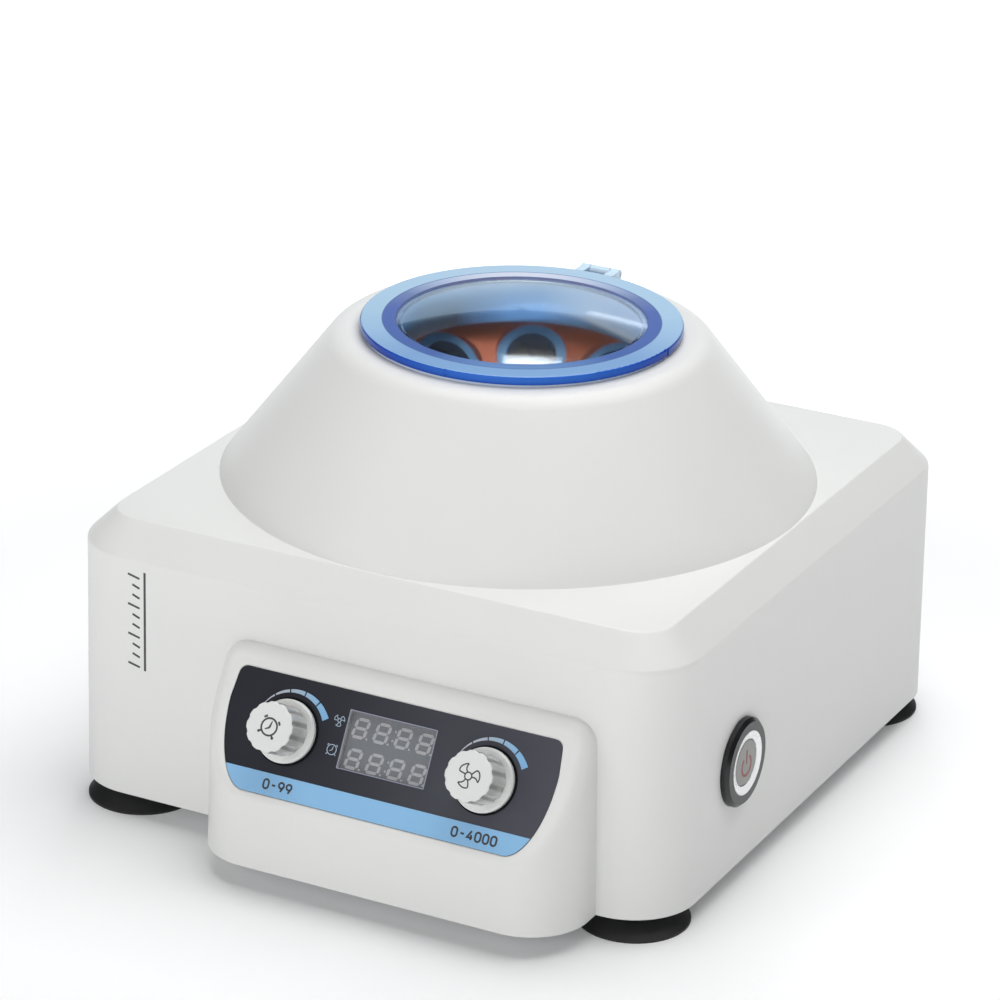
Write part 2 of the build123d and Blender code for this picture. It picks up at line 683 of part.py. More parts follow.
with BuildPart() as sleeve_blank:
    with BuildSketch(Plane.XZ):
        with BuildLine():
            end_z = -SLEEVE_LENGTH
            Line((SLEEVE_BORE, -3.0), (10.2, LIP_HEIGHT - 1.0))
            # Rolled lip.
            ThreePointArc((10.2, LIP_HEIGHT - 1.0), (11.6, LIP_HEIGHT), (13.0, LIP_HEIGHT - 0.8))
            ThreePointArc((13.0, LIP_HEIGHT - 0.8), (LIP_RADIUS, 1.0), (13.0, 0.0))
            Polyline(
                (13.0, 0.0),
                (SLEEVE_OUTER, 0.0),
                (SLEEVE_OUTER, end_z + 12),
                (4.5, end_z + 1.5),
            )
            TangentArc((0, end_z), (4.5, end_z + 1.5), tangent=(1, 0))
            Line((0, end_z), (0, end_z + 1.4))
            TangentArc((0, end_z + 1.4), (3.6, end_z + 2.7), tangent=(1, 0))
            Polyline((3.6, end_z + 2.7), (SLEEVE_BORE, end_z + 12.6), (SLEEVE_BORE, -3.0))
        make_face()
    revolve(axis=Axis.Z)

with BuildPart() as tube_sleeves:
    for index in range(SLEEVE_COUNT):
        add(sleeve_blank.part.moved(seat_plane(index).location))
tube_sleeves.part.label = "tube_sleeves"
export_step(tube_sleeves.part, "parts/tube_sleeves.step")

with BuildPart() as rotor_washer:
    with BuildSketch(Plane.XY.offset(HUB_TOP_Z)):
        Circle(9.0)
        Circle(3.1, mode=Mode.SUBTRACT)
    extrude(amount=1.2)
rotor_washer.part.label = "rotor_washer"
export_step(rotor_washer.part, "parts/rotor_washer.step")

with BuildPart() as rotor_nut:
    with BuildSketch(Plane.XY.offset(HUB_TOP_Z + 1.2)):
        RegularPolygon(7.6, 6)
    extrude(amount=6.0)
    with BuildSketch(Plane.XY.offset(HUB_TOP_Z + 7.2)):
        Circle(5.6)
    extrude(amount=2.4, taper=25)
    with BuildSketch(Plane.XY.offset(HUB_TOP_Z + 1.2)):
        Circle(3.02)
    extrude(amount=7.4, mode=Mode.SUBTRACT)
rotor_nut.part.label = "rotor_nut"
export_step(rotor_nut.part, "parts/rotor_nut.step")

# ---------------------------------------------------------------- lid

flange_top_z = LID_BOTTOM_Z + 1.3
with BuildPart() as lid_ring:
    with BuildSketch(Plane.XZ) as ring_profile:
        with BuildLine():
            Polyline(
                (53.7, LID_BOTTOM_Z),
                (LID_RADIUS, LID_BOTTOM_Z),
                (LID_RADIUS, LID_TOP_Z),
                (WINDOW_RADIUS + 0.3, LID_TOP_Z),
                (WINDOW_RADIUS + 0.3, flange_top_z + 0.05),
                (53.7, flange_top_z + 0.05),
                close=True,
            )
        make_face()
        fillet(ring_profile.vertices().sort_by(Axis.X)[-2:], 0.8)
    revolve(axis=Axis.Z)
    # Small notches in the rim at the front and the sides.
    with BuildSketch(Plane.XY.offset(LID_BOTTOM_Z - 1)):
        with Locations((0, -LID_RADIUS - 0.5), (-LID_RADIUS - 0.5, 0), (LID_RADIUS + 0.5, 0)):
            Circle(1.0)
    extrude(amount=6, mode=Mode.SUBTRACT)
    # Two arms with knuckles at the back.
    arm_width = HINGE_HALF_WIDTH - BRACKET_HALF_WIDTH - 0.3
    arm_centre = HINGE_HALF_WIDTH - arm_width / 2
    for side in (-1, 1):
        with BuildSketch(hinge_side.offset(side * arm_centre - arm_width / 2)):
            Circle(KNUCKLE_RADIUS)
            with Locations((-4.4, (LID_TOP_Z + LID_BOTTOM_Z) / 2 - HINGE_Z)):
                Rectangle(8.8, LID_TOP_Z - LID_BOTTOM_Z)
            Circle(PIN_RADIUS + 0.05, mode=Mode.SUBTRACT)
        extrude(amount=arm_width)
lid_ring.part.label = "lid_ring"
export_step(lid_ring.part, "parts/lid_ring.step")

dome_edge_z = LID_TOP_Z - 0.6
with BuildPart() as lid_window:
    with BuildSketch(Plane.XZ):
        with BuildLine():
            # Flange below the ring, then a shallow dome of even thickness.
            inner_radius = WINDOW_RADIUS - DOME_THICKNESS
            TangentArc((0, DOME_TOP_Z), (WINDOW_RADIUS, dome_edge_z), tangent=(1, 0))
            Polyline(
                (WINDOW_RADIUS, dome_edge_z),
                (WINDOW_RADIUS, flange_top_z),
                (53.4, flange_top_z),
                (53.4, LID_BOTTOM_Z),
                (inner_radius, LID_BOTTOM_Z),
                (inner_radius, dome_edge_z - 1.6),
            )
            TangentArc(
                (0, DOME_TOP_Z - DOME_THICKNESS), (inner_radius, dome_edge_z - 1.6), tangent=(1, 0)
            )
            Line((0, DOME_TOP_Z - DOME_THICKNESS), (0, DOME_TOP_Z))
        make_face()
    revolve(axis=Axis.Z)
lid_window.part.label = "lid_window"
export_step(lid_window.part, "parts/lid_window.step")

with BuildPart() as lid_gasket:
    with BuildSketch(Plane.XY.offset(RIM_Z)):
        Circle(59.6)
        Circle(56.0, mode=Mode.SUBTRACT)
    extrude(amount=LID_BOTTOM_Z - RIM_Z)
lid_gasket.part.label = "lid_gasket"
export_step(lid_gasket.part, "parts/lid_gasket.step")

with BuildPart() as hinge_bracket:
    with BuildSketch(Plane.XY.offset(RIM_Z - 1.5)):
        with Locations((0, HINGE_Y)):
            Rectangle(2 * BRACKET_HALF_WIDTH + 1.4, 9.0)
    extrude(amount=1.7)
    with BuildSketch(hinge_side.offset(-BRACKET_HALF_WIDTH)):
        Circle(KNUCKLE_RADIUS)
        with Locations((0, (RIM_Z - HINGE_Z) / 2)):
            Rectangle(2 * KNUCKLE_RADIUS, HINGE_Z - RIM_Z)
    extrude(amount=2 * BRACKET_HALF_WIDTH)
    with BuildSketch(hinge_side.offset(-BRACKET_HALF_WIDTH)):
        Circle(PIN_RADIUS + 0.01)
    extrude(amount=2 * BRACKET_HALF_WIDTH, mode=Mode.SUBTRACT)
    with BuildSketch(Plane.XY.offset(RIM_Z - 1.5)):
        with Locations(*hinge_screw_places):
            Circle(0.9)
    extrude(amount=2.2, mode=Mode.SUBTRACT)
hinge_bracket.part.label = "hinge_bracket"
export_step(hinge_bracket.part, "parts/hinge_bracket.step")

with BuildPart() as hinge_pin:
    with BuildSketch(hinge_side.offset(-HINGE_HALF_WIDTH + 0.2)):
        Circle(PIN_RADIUS)
    extrude(amount=2 * HINGE_HALF_WIDTH - 0.4)
hinge_pin.part.label = "hinge_pin"
export_step(hinge_pin.part, "parts/hinge_pin.step")

with BuildPart() as hinge_screws:
    with BuildSketch(Plane.XY.offset(RIM_Z - WALL)):
        with Locations(*hinge_screw_places):
            Circle(1.9)
    extrude(amount=-1.2)
    with BuildSketch(Plane.XY.offset(RIM_Z - WALL)):
        with Locations(*hinge_screw_places):
            Circle(0.88)
    extrude(amount=3.4)
hinge_screws.part.label = "hinge_screws"
export_step(hinge_screws.part, "parts/hinge_screws.step")

# ---------------------------------------------------------------- console

with BuildPart() as control_overlay:
    with BuildSketch(panel.offset(-OVERLAY_POCKET)):
        add(overlay_outline(0))
        with Locations(WINDOW_CENTRE):
            Rectangle(WINDOW_SIZE[0] + 0.2, WINDOW_SIZE[1] + 0.2, mode=Mode.SUBTRACT)
        with Locations(*knob_places):
            Circle(BUSHING_HOLE_RADIUS, mode=Mode.SUBTRACT)
    extrude(amount=OVERLAY_THICKNESS)
control_overlay.part.label = "control_overlay"
export_step(control_overlay.part, "parts/control_overlay.step")

with BuildPart() as display_window:
    with BuildSketch(panel.offset(-2.0)):
        with Locations(WINDOW_CENTRE):
            Rectangle(*WINDOW_SIZE)
    extrude(amount=2.25)
display_window.part.label = "display_window"
export_step(display_window.part, "parts/display_window.step")

with BuildPart() as digit_displays:
    with BuildSketch(panel.offset(BOARD_TOP_N)):
        with Locations(
            (WINDOW_CENTRE[0], WINDOW_CENTRE[1] - 5.3),
            (WINDOW_CENTRE[0], WINDOW_CENTRE[1] + 5.3),
        ):
            Rectangle(34, 9.8)
    extrude(amount=6.2)
digit_displays.part.label = "digit_displays"
export_step(digit_displays.part, "parts/digit_displays.step")

with BuildPart() as display_board:
    with BuildSketch(panel.offset(BOARD_TOP_N - BOARD_THICKNESS)):
        with Locations((POD_CENTRE_X, 28)):
            RectangleRounded(122, 36, 2)
        with Locations(*board_screw_places):
            Circle(1.5, mode=Mode.SUBTRACT)
    extrude(amount=BOARD_THICKNESS)
    # Connector and driver chip on the back.
    with BuildSketch(panel.offset(BOARD_TOP_N - BOARD_THICKNESS)):
        with Locations((-6, 16)):
            Rectangle(16, 6)
    extrude(amount=-5)
    with BuildSketch(panel.offset(BOARD_TOP_N - BOARD_THICKNESS)):
        with Locations((26, 30)):
            Rectangle(14, 9)
    extrude(amount=-1.8)
display_board.part.label = "display_board"
export_step(display_board.part, "parts/display_board.step")

with BuildPart() as board_screws:
    with BuildSketch(panel.offset(BOARD_TOP_N - BOARD_THICKNESS)):
        with Locations(*board_screw_places):
            Circle(2.4)
    extrude(amount=-1.6)
    with BuildSketch(panel.offset(BOARD_TOP_N - BOARD_THICKNESS)):
        with Locations(*board_screw_places):
            Circle(1.05)
    extrude(amount=6.5)
board_screws.part.label = "board_screws"
export_step(board_screws.part, "parts/board_screws.step")

case_top_n = -3.1
with BuildPart() as encoder_cases:
    with BuildSketch(panel.offset(BOARD_TOP_N)):
        with Locations(*knob_places):
            Rectangle(12.4, 12.4)
    extrude(amount=case_top_n - BOARD_TOP_N)
    with BuildSketch(panel.offset(case_top_n)):
        with Locations(*knob_places):
            Circle(3.5)
    extrude(amount=6.9)
    with BuildSketch(panel.offset(BOARD_TOP_N + 0.7)):
        with Locations(*knob_places):
            Circle(4.8)
    extrude(amount=5.0, mode=Mode.SUBTRACT)
    with BuildSketch(panel.offset(BOARD_TOP_N + 0.7)):
        with Locations(*knob_places):
            Circle(3.06)
    extrude(amount=14, mode=Mode.SUBTRACT)
encoder_cases.part.label = "encoder_cases"
export_step(encoder_cases.part, "parts/encoder_cases.step")

with BuildPart() as encoder_nuts:
    with BuildSketch(panel.offset(OVERLAY_THICKNESS - OVERLAY_POCKET)):
        with Locations(*knob_places):
            RegularPolygon(5.6, 6)
            Circle(3.52, mode=Mode.SUBTRACT)
    extrude(amount=2.0)
encoder_nuts.part.label = "encoder_nuts"
export_step(encoder_nuts.part, "parts/encoder_nuts.step")

carrier_bottom_n = BOARD_TOP_N + 1.4
carrier_top_n = carrier_bottom_n + 1.4


def build_carrier(x):
    """The pressed contact plate inside an encoder: it slides but doesn't turn."""
    with BuildPart() as carrier:
        with BuildSketch(panel.offset(carrier_bottom_n)):
            with Locations((x, KNOB_ROW)):
                Circle(4.5)
        extrude(amount=carrier_top_n - carrier_bottom_n)
    return carrier.part


def build_shaft(x):
    """An encoder's shaft, with the collar that keeps it in the bushing."""
    with BuildPart() as shaft:
        with BuildSketch(panel.offset(carrier_top_n)):
            with Locations((x, KNOB_ROW)):
                Circle(4.3)
        extrude(amount=1.0)
        with BuildSketch(panel.offset(carrier_top_n + 1.0)):
            with Locations((x, KNOB_ROW)):
                Circle(3.0)
        extrude(amount=11.5 - carrier_top_n - 1.0)
    return shaft.part


def build_knob(x):
    """A knob with a round skirt and a fluted grip, hollow underneath to clear the nut."""
    skirt_bottom_n = 0.9
    skirt_thickness = 1.8
    cutter_radius = 2.6
    flute_depth = 0.38
    with BuildPart() as knob:
        with BuildSketch(panel.offset(skirt_bottom_n)):
            with Locations((x, KNOB_ROW)):
                Circle(KNOB_SKIRT_RADIUS)
        extrude(amount=skirt_thickness)
        chamfer(knob.faces().sort_by(Axis(panel.origin, panel.z_dir))[-1].edges(), 0.6)
        with BuildSketch(panel.offset(skirt_bottom_n + skirt_thickness)) as grip:
            with Locations((x, KNOB_ROW)):
                Circle(KNOB_GRIP_RADIUS)
                with PolarLocations(
                    KNOB_GRIP_RADIUS + cutter_radius - flute_depth,
                    KNOB_FLUTES,
                    start_angle=KNOB_FLUTE_START_DEG,
                ):
                    Circle(cutter_radius, mode=Mode.SUBTRACT)
            fillet(grip.vertices(), 0.8)
        extrude(amount=KNOB_HEIGHT - skirt_bottom_n - skirt_thickness)
        chamfer(knob.faces().sort_by(Axis(panel.origin, panel.z_dir))[-1].edges(), 0.3)
        with BuildSketch(panel.offset(skirt_bottom_n)):
            with Locations((x, KNOB_ROW)):
                Circle(6.4)
        extrude(amount=4.0, mode=Mode.SUBTRACT)
        with BuildSketch(panel.offset(skirt_bottom_n)):
            with Locations((x, KNOB_ROW)):
                Circle(3.02)
        extrude(amount=11.0, mode=Mode.SUBTRACT)
    return knob.part


with BuildPart() as time_carrier:
    add(build_carrier(TIME_X))
time_carrier.part.label = "time_carrier"
export_step(time_carrier.part, "parts/time_carrier.step")

with BuildPart() as speed_carrier:
    add(build_carrier(SPEED_X))
speed_carrier.part.label = "speed_carrier"
export_step(speed_carrier.part, "parts/speed_carrier.step")

with BuildPart() as time_shaft:
    add(build_shaft(TIME_X))
time_shaft.part.label = "time_shaft"
export_step(time_shaft.part, "parts/time_shaft.step")

with BuildPart() as speed_shaft:
    add(build_shaft(SPEED_X))
speed_shaft.part.label = "speed_shaft"
export_step(speed_shaft.part, "parts/speed_shaft.step")

with BuildPart() as time_knob:
    add(build_knob(TIME_X))
time_knob.part.label = "time_knob"
export_step(time_knob.part, "parts/time_knob.step")

with BuildPart() as speed_knob:
    add(build_knob(SPEED_X))
speed_knob.part.label = "speed_knob"
export_step(speed_knob.part, "parts/speed_knob.step")

# ---------------------------------------------------------------- power switch

with BuildPart() as switch_bezel:
    with BuildSketch(switch_face):
        Circle(16.8)
        Circle(SWITCH_RING_RADIUS + 0.1, mode=Mode.SUBTRACT)
    extrude(amount=3.2)
    outer_edge = switch_bezel.edges().filter_by(GeomType.CIRCLE).sort_by(Axis.X)[-2:]
    chamfer(outer_edge.sort_by(SortBy.RADIUS)[-1], 1.3)
switch_bezel.part.label = "switch_bezel"
export_step(switch_bezel.part, "parts/switch_bezel.step")

with BuildPart() as switch_ring:
    with BuildSketch(switch_face):
        Circle(SWITCH_RING_RADIUS)
        Circle(BUTTON_RADIUS + 0.2, mode=Mode.SUBTRACT)
    extrude(amount=SWITCH_RING_RISE)
    # Shallow dish that slopes down to the button.
    dish_depth = SWITCH_RING_RISE - BUTTON_RISE
    with Locations(switch_face.offset(SWITCH_RING_RISE - dish_depth / 2)):
        Cone(BUTTON_RADIUS + 0.2, SWITCH_RING_RADIUS - 0.9, dish_depth, mode=Mode.SUBTRACT)
switch_ring.part.label = "switch_ring"
export_step(switch_ring.part, "parts/switch_ring.step")

with BuildPart() as switch_barrel:
    with BuildSketch(switch_face.offset(-27)):
        Circle(10.9)
    extrude(amount=27)
    with BuildSketch(switch_face.offset(-8)):
        Circle(BUTTON_RADIUS + 0.1)
    extrude(amount=8, mode=Mode.SUBTRACT)
    # Blade terminals on the back.
    with BuildSketch(switch_face.offset(-27)):
        with Locations((-5, 4), (5, 4), (-5, -4), (5, -4)):
            Rectangle(2.8, 0.8)
    extrude(amount=-6)
switch_barrel.part.label = "switch_barrel"
export_step(switch_barrel.part, "parts/switch_barrel.step")

with BuildPart() as switch_button:
    with BuildSketch(switch_face.offset(-5)):
        Circle(BUTTON_RADIUS)
    extrude(amount=5 + BUTTON_RISE)
    fillet(switch_button.faces().sort_by(Axis.X)[-1].edges(), 0.4)
switch_button.part.label = "switch_button"
export_step(switch_button.part, "parts/switch_button.step")

with BuildPart() as switch_nut:
    with BuildSketch(switch_face.offset(-6.6)):
        RegularPolygon(15.0, 6)
        Circle(10.95, mode=Mode.SUBTRACT)
    extrude(amount=3.3)
switch_nut.part.label = "switch_nut"
export_step(switch_nut.part, "parts/switch_nut.step")

# ---------------------------------------------------------------- power inlet

with BuildPart() as power_inlet:
    with BuildSketch(inlet_face):
        RectangleRounded(50, 30, 4)
        with Locations((-20, 0), (20, 0)):
            Circle(1.7, mode=Mode.SUBTRACT)
    extrude(amount=2.6)
    with BuildSketch(inlet_face.offset(-27)):
        RectangleRounded(27.6, 24.2, 2)
    extrude(amount=27)
    # Socket with two cut corners.
    with BuildSketch(inlet_face.offset(2.6)) as socket:
        Rectangle(24.2, 16.6)
        chamfer(socket.vertices().group_by(Axis.Z)[-1], 4.6)
    extrude(amount=-19, mode=Mode.SUBTRACT)
power_inlet.part.label = "power_inlet"
export_step(power_inlet.part, "parts/power_inlet.step")

with BuildPart() as inlet_pins:
    with BuildSketch(inlet_face.offset(-16.4)):
        with Locations((-7, -2.5), (7, -2.5), (0, 2.5)):
            Rectangle(2.0, 4.0)
    extrude(amount=15)
inlet_pins.part.label = "inlet_pins"
export_step(inlet_pins.part, "parts/inlet_pins.step")

with BuildPart() as inlet_screws:
    with BuildSketch(inlet_face.offset(2.6)):
        with Locations((-20, 0), (20, 0)):
            Circle(2.9)
    extrude(amount=1.6)
    with BuildSketch(inlet_face.offset(2.6)):
        with Locations((-20, 0), (20, 0)):
            Circle(1.5)
    extrude(amount=-10)
inlet_screws.part.label = "inlet_screws"
export_step(inlet_screws.part, "parts/inlet_screws.step")

# ---------------------------------------------------------------- electronics on the base plate

board_z = 17.0
board_x = -76.0
board_y = 74.0
with BuildPart() as board_posts:
    with BuildSketch(Plane.XY.offset(BASE_TOP_Z)):
        for side in (-1, 1):
            with Locations(
                *[(board_x + dx, side * board_y + dy) for dx in (-27, 27) for dy in (-21, 21)]
            ):
                Circle(3.0)
    extrude(amount=board_z - BASE_TOP_Z)
board_posts.part.label = "board_posts"
export_step(board_posts.part, "parts/board_posts.step")

with BuildPart() as supply_board:
    with BuildSketch(Plane.XY.offset(board_z)):
        with Locations((board_x, board_y)):
            RectangleRounded(62, 50, 2)
    extrude(amount=BOARD_THICKNESS)
supply_board.part.label = "supply_board"
export_step(supply_board.part, "parts/supply_board.step")

board_top_z = board_z + BOARD_THICKNESS
with BuildPart() as control_board:
    with BuildSketch(Plane.XY.offset(board_z)):
        with Locations((board_x, -board_y)):
            RectangleRounded(62, 50, 2)
    extrude(amount=BOARD_THICKNESS)
control_board.part.label = "control_board"
export_step(control_board.part, "parts/control_board.step")

with BuildPart() as board_components:
    # Transformer, smoothing capacitors and heat sink on the supply board.
    with BuildSketch(Plane.XY.offset(board_top_z)):
        with Locations((board_x + 3, board_y - 8)):
            RectangleRounded(26, 22, 1)
    extrude(amount=21)
    with BuildSketch(Plane.XY.offset(board_top_z)):
        with Locations((board_x - 20, board_y + 8), (board_x - 20, board_y - 8)):
            Circle(6.4)
    extrude(amount=26)
    with BuildSketch(Plane.XY.offset(board_top_z)):
        with Locations((board_x + 24, board_y - 8)):
            Rectangle(4, 24)
    extrude(amount=24)
    # Processor, buzzer and relay on the control board.
    with BuildSketch(Plane.XY.offset(board_top_z)):
        with Locations((board_x - 4, -board_y + 2)):
            Rectangle(14, 14)
    extrude(amount=1.6)
    with BuildSketch(Plane.XY.offset(board_top_z)):
        with Locations((board_x - 22, -board_y + 12)):
            Circle(6.0)
    extrude(amount=9)
    with BuildSketch(Plane.XY.offset(board_top_z)):
        with Locations((board_x - 22, -board_y - 10)):
            Rectangle(12, 18)
    extrude(amount=15)
board_components.part.label = "board_components"
export_step(board_components.part, "parts/board_components.step")

# ---------------------------------------------------------------- internal leads


def build_lead(points, radius):
    """A lead of round section along a route with rounded bends."""
    with BuildPart() as lead:
        with BuildLine() as route:
            FilletPolyline(*points, radius=5.0)
        start = route.line
        with BuildSketch(Plane(origin=start @ 0, z_dir=start % 0)):
            Circle(radius)
        sweep(path=route.line)
    return lead.part


with BuildPart() as inlet_leads:
    add(
        build_lead(
            [
                (70, INLET_FACE_Y - 27, 42),
                (70, 78, 42),
                (60, 78, 26),
                (24, 98, 26),
                (-52, 98, 30),
                (-52, 88, 30),
                (-52, 88, board_top_z),
            ],
            2.2,
        )
    )
inlet_leads.part.label = "inlet_leads"
export_step(inlet_leads.part, "parts/inlet_leads.step")

with BuildPart() as switch_leads:
    add(
        build_lead(
            [
                (SWITCH_FACE_X - 33.2, SWITCH_Y, SWITCH_Z),
                (80, SWITCH_Y, SWITCH_Z),
                (70, -80, 28),
                (40, -99, 28),
                (-36, -99, 28),
                (-52, -90, 28),
                (-52, -90, board_top_z),
            ],
            2.0,
        )
    )
switch_leads.part.label = "switch_leads"
export_step(switch_leads.part, "parts/switch_leads.step")

with BuildPart() as motor_leads:
    add(
        build_lead(
            [
                (-MOTOR_RADIUS - 0.1, -6, 30),
                (-50, -6, 30),
                (-58, -30, 30),
                (-58, -56, 30),
                (-58, -56, board_top_z),
            ],
            1.8,
        )
    )
motor_leads.part.label = "motor_leads"
export_step(motor_leads.part, "parts/motor_leads.step")

cable_start = panel.from_local_coords((-6, 16, BOARD_TOP_N - 6.7))
with BuildPart() as display_cable:
    add(
        build_lead(
            [
                (cable_start.X, cable_start.Y, cable_start.Z),
                (-6, cable_start.Y + 12, cable_start.Z - 6.7),
                (-40, -112, 26),
                (-66, -104, 30),
                (-74, -92, 30),
                (-74, -92, board_top_z),
            ],
            1.8,
        )
    )
display_cable.part.label = "display_cable"
export_step(display_cable.part, "parts/display_cable.step")
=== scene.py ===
import json
import math

import bmesh
import bpy
from mathutils import Matrix, Vector


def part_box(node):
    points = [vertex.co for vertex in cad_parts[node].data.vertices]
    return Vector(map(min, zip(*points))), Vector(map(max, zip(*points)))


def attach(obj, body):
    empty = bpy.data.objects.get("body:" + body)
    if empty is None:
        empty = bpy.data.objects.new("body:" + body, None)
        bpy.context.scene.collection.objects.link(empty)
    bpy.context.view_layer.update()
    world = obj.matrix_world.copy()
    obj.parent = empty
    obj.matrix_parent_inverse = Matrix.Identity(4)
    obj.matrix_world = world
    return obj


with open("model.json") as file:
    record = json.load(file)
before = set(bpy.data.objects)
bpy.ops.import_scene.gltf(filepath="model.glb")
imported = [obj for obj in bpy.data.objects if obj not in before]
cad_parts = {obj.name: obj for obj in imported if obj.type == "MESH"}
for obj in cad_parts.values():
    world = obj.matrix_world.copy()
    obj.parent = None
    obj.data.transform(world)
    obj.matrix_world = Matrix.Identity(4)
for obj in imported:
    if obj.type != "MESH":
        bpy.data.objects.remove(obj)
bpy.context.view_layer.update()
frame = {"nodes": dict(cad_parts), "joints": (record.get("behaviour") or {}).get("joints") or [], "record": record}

# Looks for a benchtop laboratory centrifuge. Metres, in the frame's own axes: +Z up, the console
# faces -Y, the power switch is on +X.

MM = 0.001
scene = bpy.context.scene
scene.view_settings.view_transform = "Standard"

# ---------------------------------------------------------------- camera

CAMERA_AZIMUTH = math.radians(27.118)
CAMERA_ELEVATION = math.radians(22.511)
CAMERA_ROLL = math.radians(1.218)
CAMERA_DISTANCE = 1.76993
CAMERA_TARGET = Vector((-0.00678, -0.00163, 0.10311))
SENSOR_WIDTH = 36.0
FOCAL_LENGTH = 167.13


def add_camera():
    """A long lens looking down a little at the front right corner."""
    right = Vector((math.cos(CAMERA_AZIMUTH), math.sin(CAMERA_AZIMUTH), 0))
    back = Vector((
        math.sin(CAMERA_AZIMUTH) * math.cos(CAMERA_ELEVATION),
        -math.cos(CAMERA_AZIMUTH) * math.cos(CAMERA_ELEVATION),
        math.sin(CAMERA_ELEVATION),
    ))
    up = back.cross(right)
    rolled_right = math.cos(CAMERA_ROLL) * right + math.sin(CAMERA_ROLL) * up
    rolled_up = math.cos(CAMERA_ROLL) * up - math.sin(CAMERA_ROLL) * right
    data = bpy.data.cameras.new("camera")
    data.sensor_width = SENSOR_WIDTH
    data.lens = FOCAL_LENGTH
    data.clip_end = 50
    camera = bpy.data.objects.new("camera", data)
    scene.collection.objects.link(camera)
    turn = Matrix((rolled_right, rolled_up, back)).transposed().to_4x4()
    camera.matrix_world = Matrix.Translation(CAMERA_TARGET + back * CAMERA_DISTANCE) @ turn
    scene.camera = camera


add_camera()

# ---------------------------------------------------------------- light and floor


def add_softbox(name, position, target, size, watts, colour=(1, 1, 1)):
    """A rectangular soft light aimed at a point."""
    data = bpy.data.lights.new(name, "AREA")
    data.shape = "RECTANGLE"
    data.size, data.size_y = size
    data.energy = watts
    data.color = colour
    light = bpy.data.objects.new(name, data)
    light.visible_camera = False
    scene.collection.objects.link(light)
    light.location = position
    aim = Vector(target) - Vector(position)
    light.rotation_euler = aim.to_track_quat("-Z", "Y").to_euler()


def add_world(glow, backdrop):
    """Even light from all round, with a plain white backdrop behind the object."""
    world = bpy.data.worlds.new("studio")
    scene.world = world
    world.use_nodes = True
    nodes, links = world.node_tree.nodes, world.node_tree.links
    nodes.clear()
    output = nodes.new("ShaderNodeOutputWorld")
    mix = nodes.new("ShaderNodeMixShader")
    path = nodes.new("ShaderNodeLightPath")
    lamp = nodes.new("ShaderNodeBackground")
    lamp.inputs["Color"].default_value = (0.97, 0.985, 1, 1)
    lamp.inputs["Strength"].default_value = glow
    wall = nodes.new("ShaderNodeBackground")
    wall.inputs["Strength"].default_value = backdrop
    links.new(path.outputs["Is Camera Ray"], mix.inputs["Fac"])
    links.new(lamp.outputs[0], mix.inputs[1])
    links.new(wall.outputs[0], mix.inputs[2])
    links.new(mix.outputs[0], output.inputs["Surface"])


WORLD_GLOW = 0.02
BACKDROP = 1.05
PALE_BLUE_LIGHT = (0.72, 0.88, 1.0)

# Name, position, target, size and watts of each large soft light.
SOFTBOXES = (
    ("overhead", (0.15, 0.25, 1.25), (0, 0, 0.1), (1.5, 1.3), 17.6),
    ("left_front", (-0.9, -1.35, 0.85), (0, -0.05, 0.08), (0.9, 0.9), 4.2),
    ("front", (0.25, -1.7, 0.55), (0, -0.05, 0.08), (1.2, 0.9), 9.0),
    ("back", (-0.85, 1.65, 0.50), (0, 0, 0.15), (2.4, 0.8), 4.4, PALE_BLUE_LIGHT),
)

# The bright spot on the dome: small lights one behind another, each larger than the one before, so
# that its edge fades. Power is in proportion to area.
GLOW_LIGHTS = 4
GLOW_RADIANCE = 12.0
GLOW_PLACE = (-0.37, 0.80, 1.11)
GLOW_TARGET = (0.02, -0.04, 0.18)
GLOW_STEP_BACK = 0.001

add_world(WORLD_GLOW, BACKDROP)
for softbox in SOFTBOXES:
    add_softbox(*softbox)
for step in range(GLOW_LIGHTS):
    width, height = 0.15 + 0.01 * step, 0.045 + 0.03 * step
    place = (GLOW_PLACE[0], GLOW_PLACE[1], GLOW_PLACE[2] + GLOW_STEP_BACK * step)
    add_softbox(f"dome_glow_{step}", place, GLOW_TARGET, (width, height), GLOW_RADIANCE * width * height)
add_softbox("dome_streak", (-0.33, 1.19, 0.61), (0.03, 0.02, 0.18), (0.20, 0.05), 0.035)

# ---------------------------------------------------------------- materials


def new_material(name, colour, roughness, metallic=0.0, **sockets):
    """A Principled material with its plain values set on the shader's own sockets."""
    material = bpy.data.materials.new(name)
    material.use_nodes = True
    shader = material.node_tree.nodes["Principled BSDF"]
    shader.inputs["Base Color"].default_value = (*colour, 1)
    shader.inputs["Roughness"].default_value = roughness
    shader.inputs["Metallic"].default_value = metallic
    for socket, value in sockets.items():
        shader.inputs[socket.replace("_", " ")].default_value = value
    return material


def shader_of(material):
    """The material's Principled shader."""
    return material.node_tree.nodes["Principled BSDF"]


def add_node(material, kind, **settings):
    """A new node, with its own settings."""
    node = material.node_tree.nodes.new(kind)
    for key, value in settings.items():
        setattr(node, key, value)
    return node


def link(material, source, target):
    """Joins an output to an input."""
    material.node_tree.links.new(source, target)


def coordinates(material, kind="Object"):
    """A texture coordinate output. An object's own coordinates are the frame's, in metres, at rest."""
    return add_node(material, "ShaderNodeTexCoord").outputs[kind]


def noise(material, scale, detail=3.0, stretch=(1, 1, 1)):
    """Noise in the object's own space, finer along an axis with a larger stretch."""
    mapping = add_node(material, "ShaderNodeMapping")
    mapping.inputs["Scale"].default_value = stretch
    link(material, coordinates(material), mapping.inputs["Vector"])
    texture = add_node(material, "ShaderNodeTexNoise")
    texture.inputs["Scale"].default_value = scale
    texture.inputs["Detail"].default_value = detail
    link(material, mapping.outputs[0], texture.inputs["Vector"])
    return texture.outputs["Fac"]


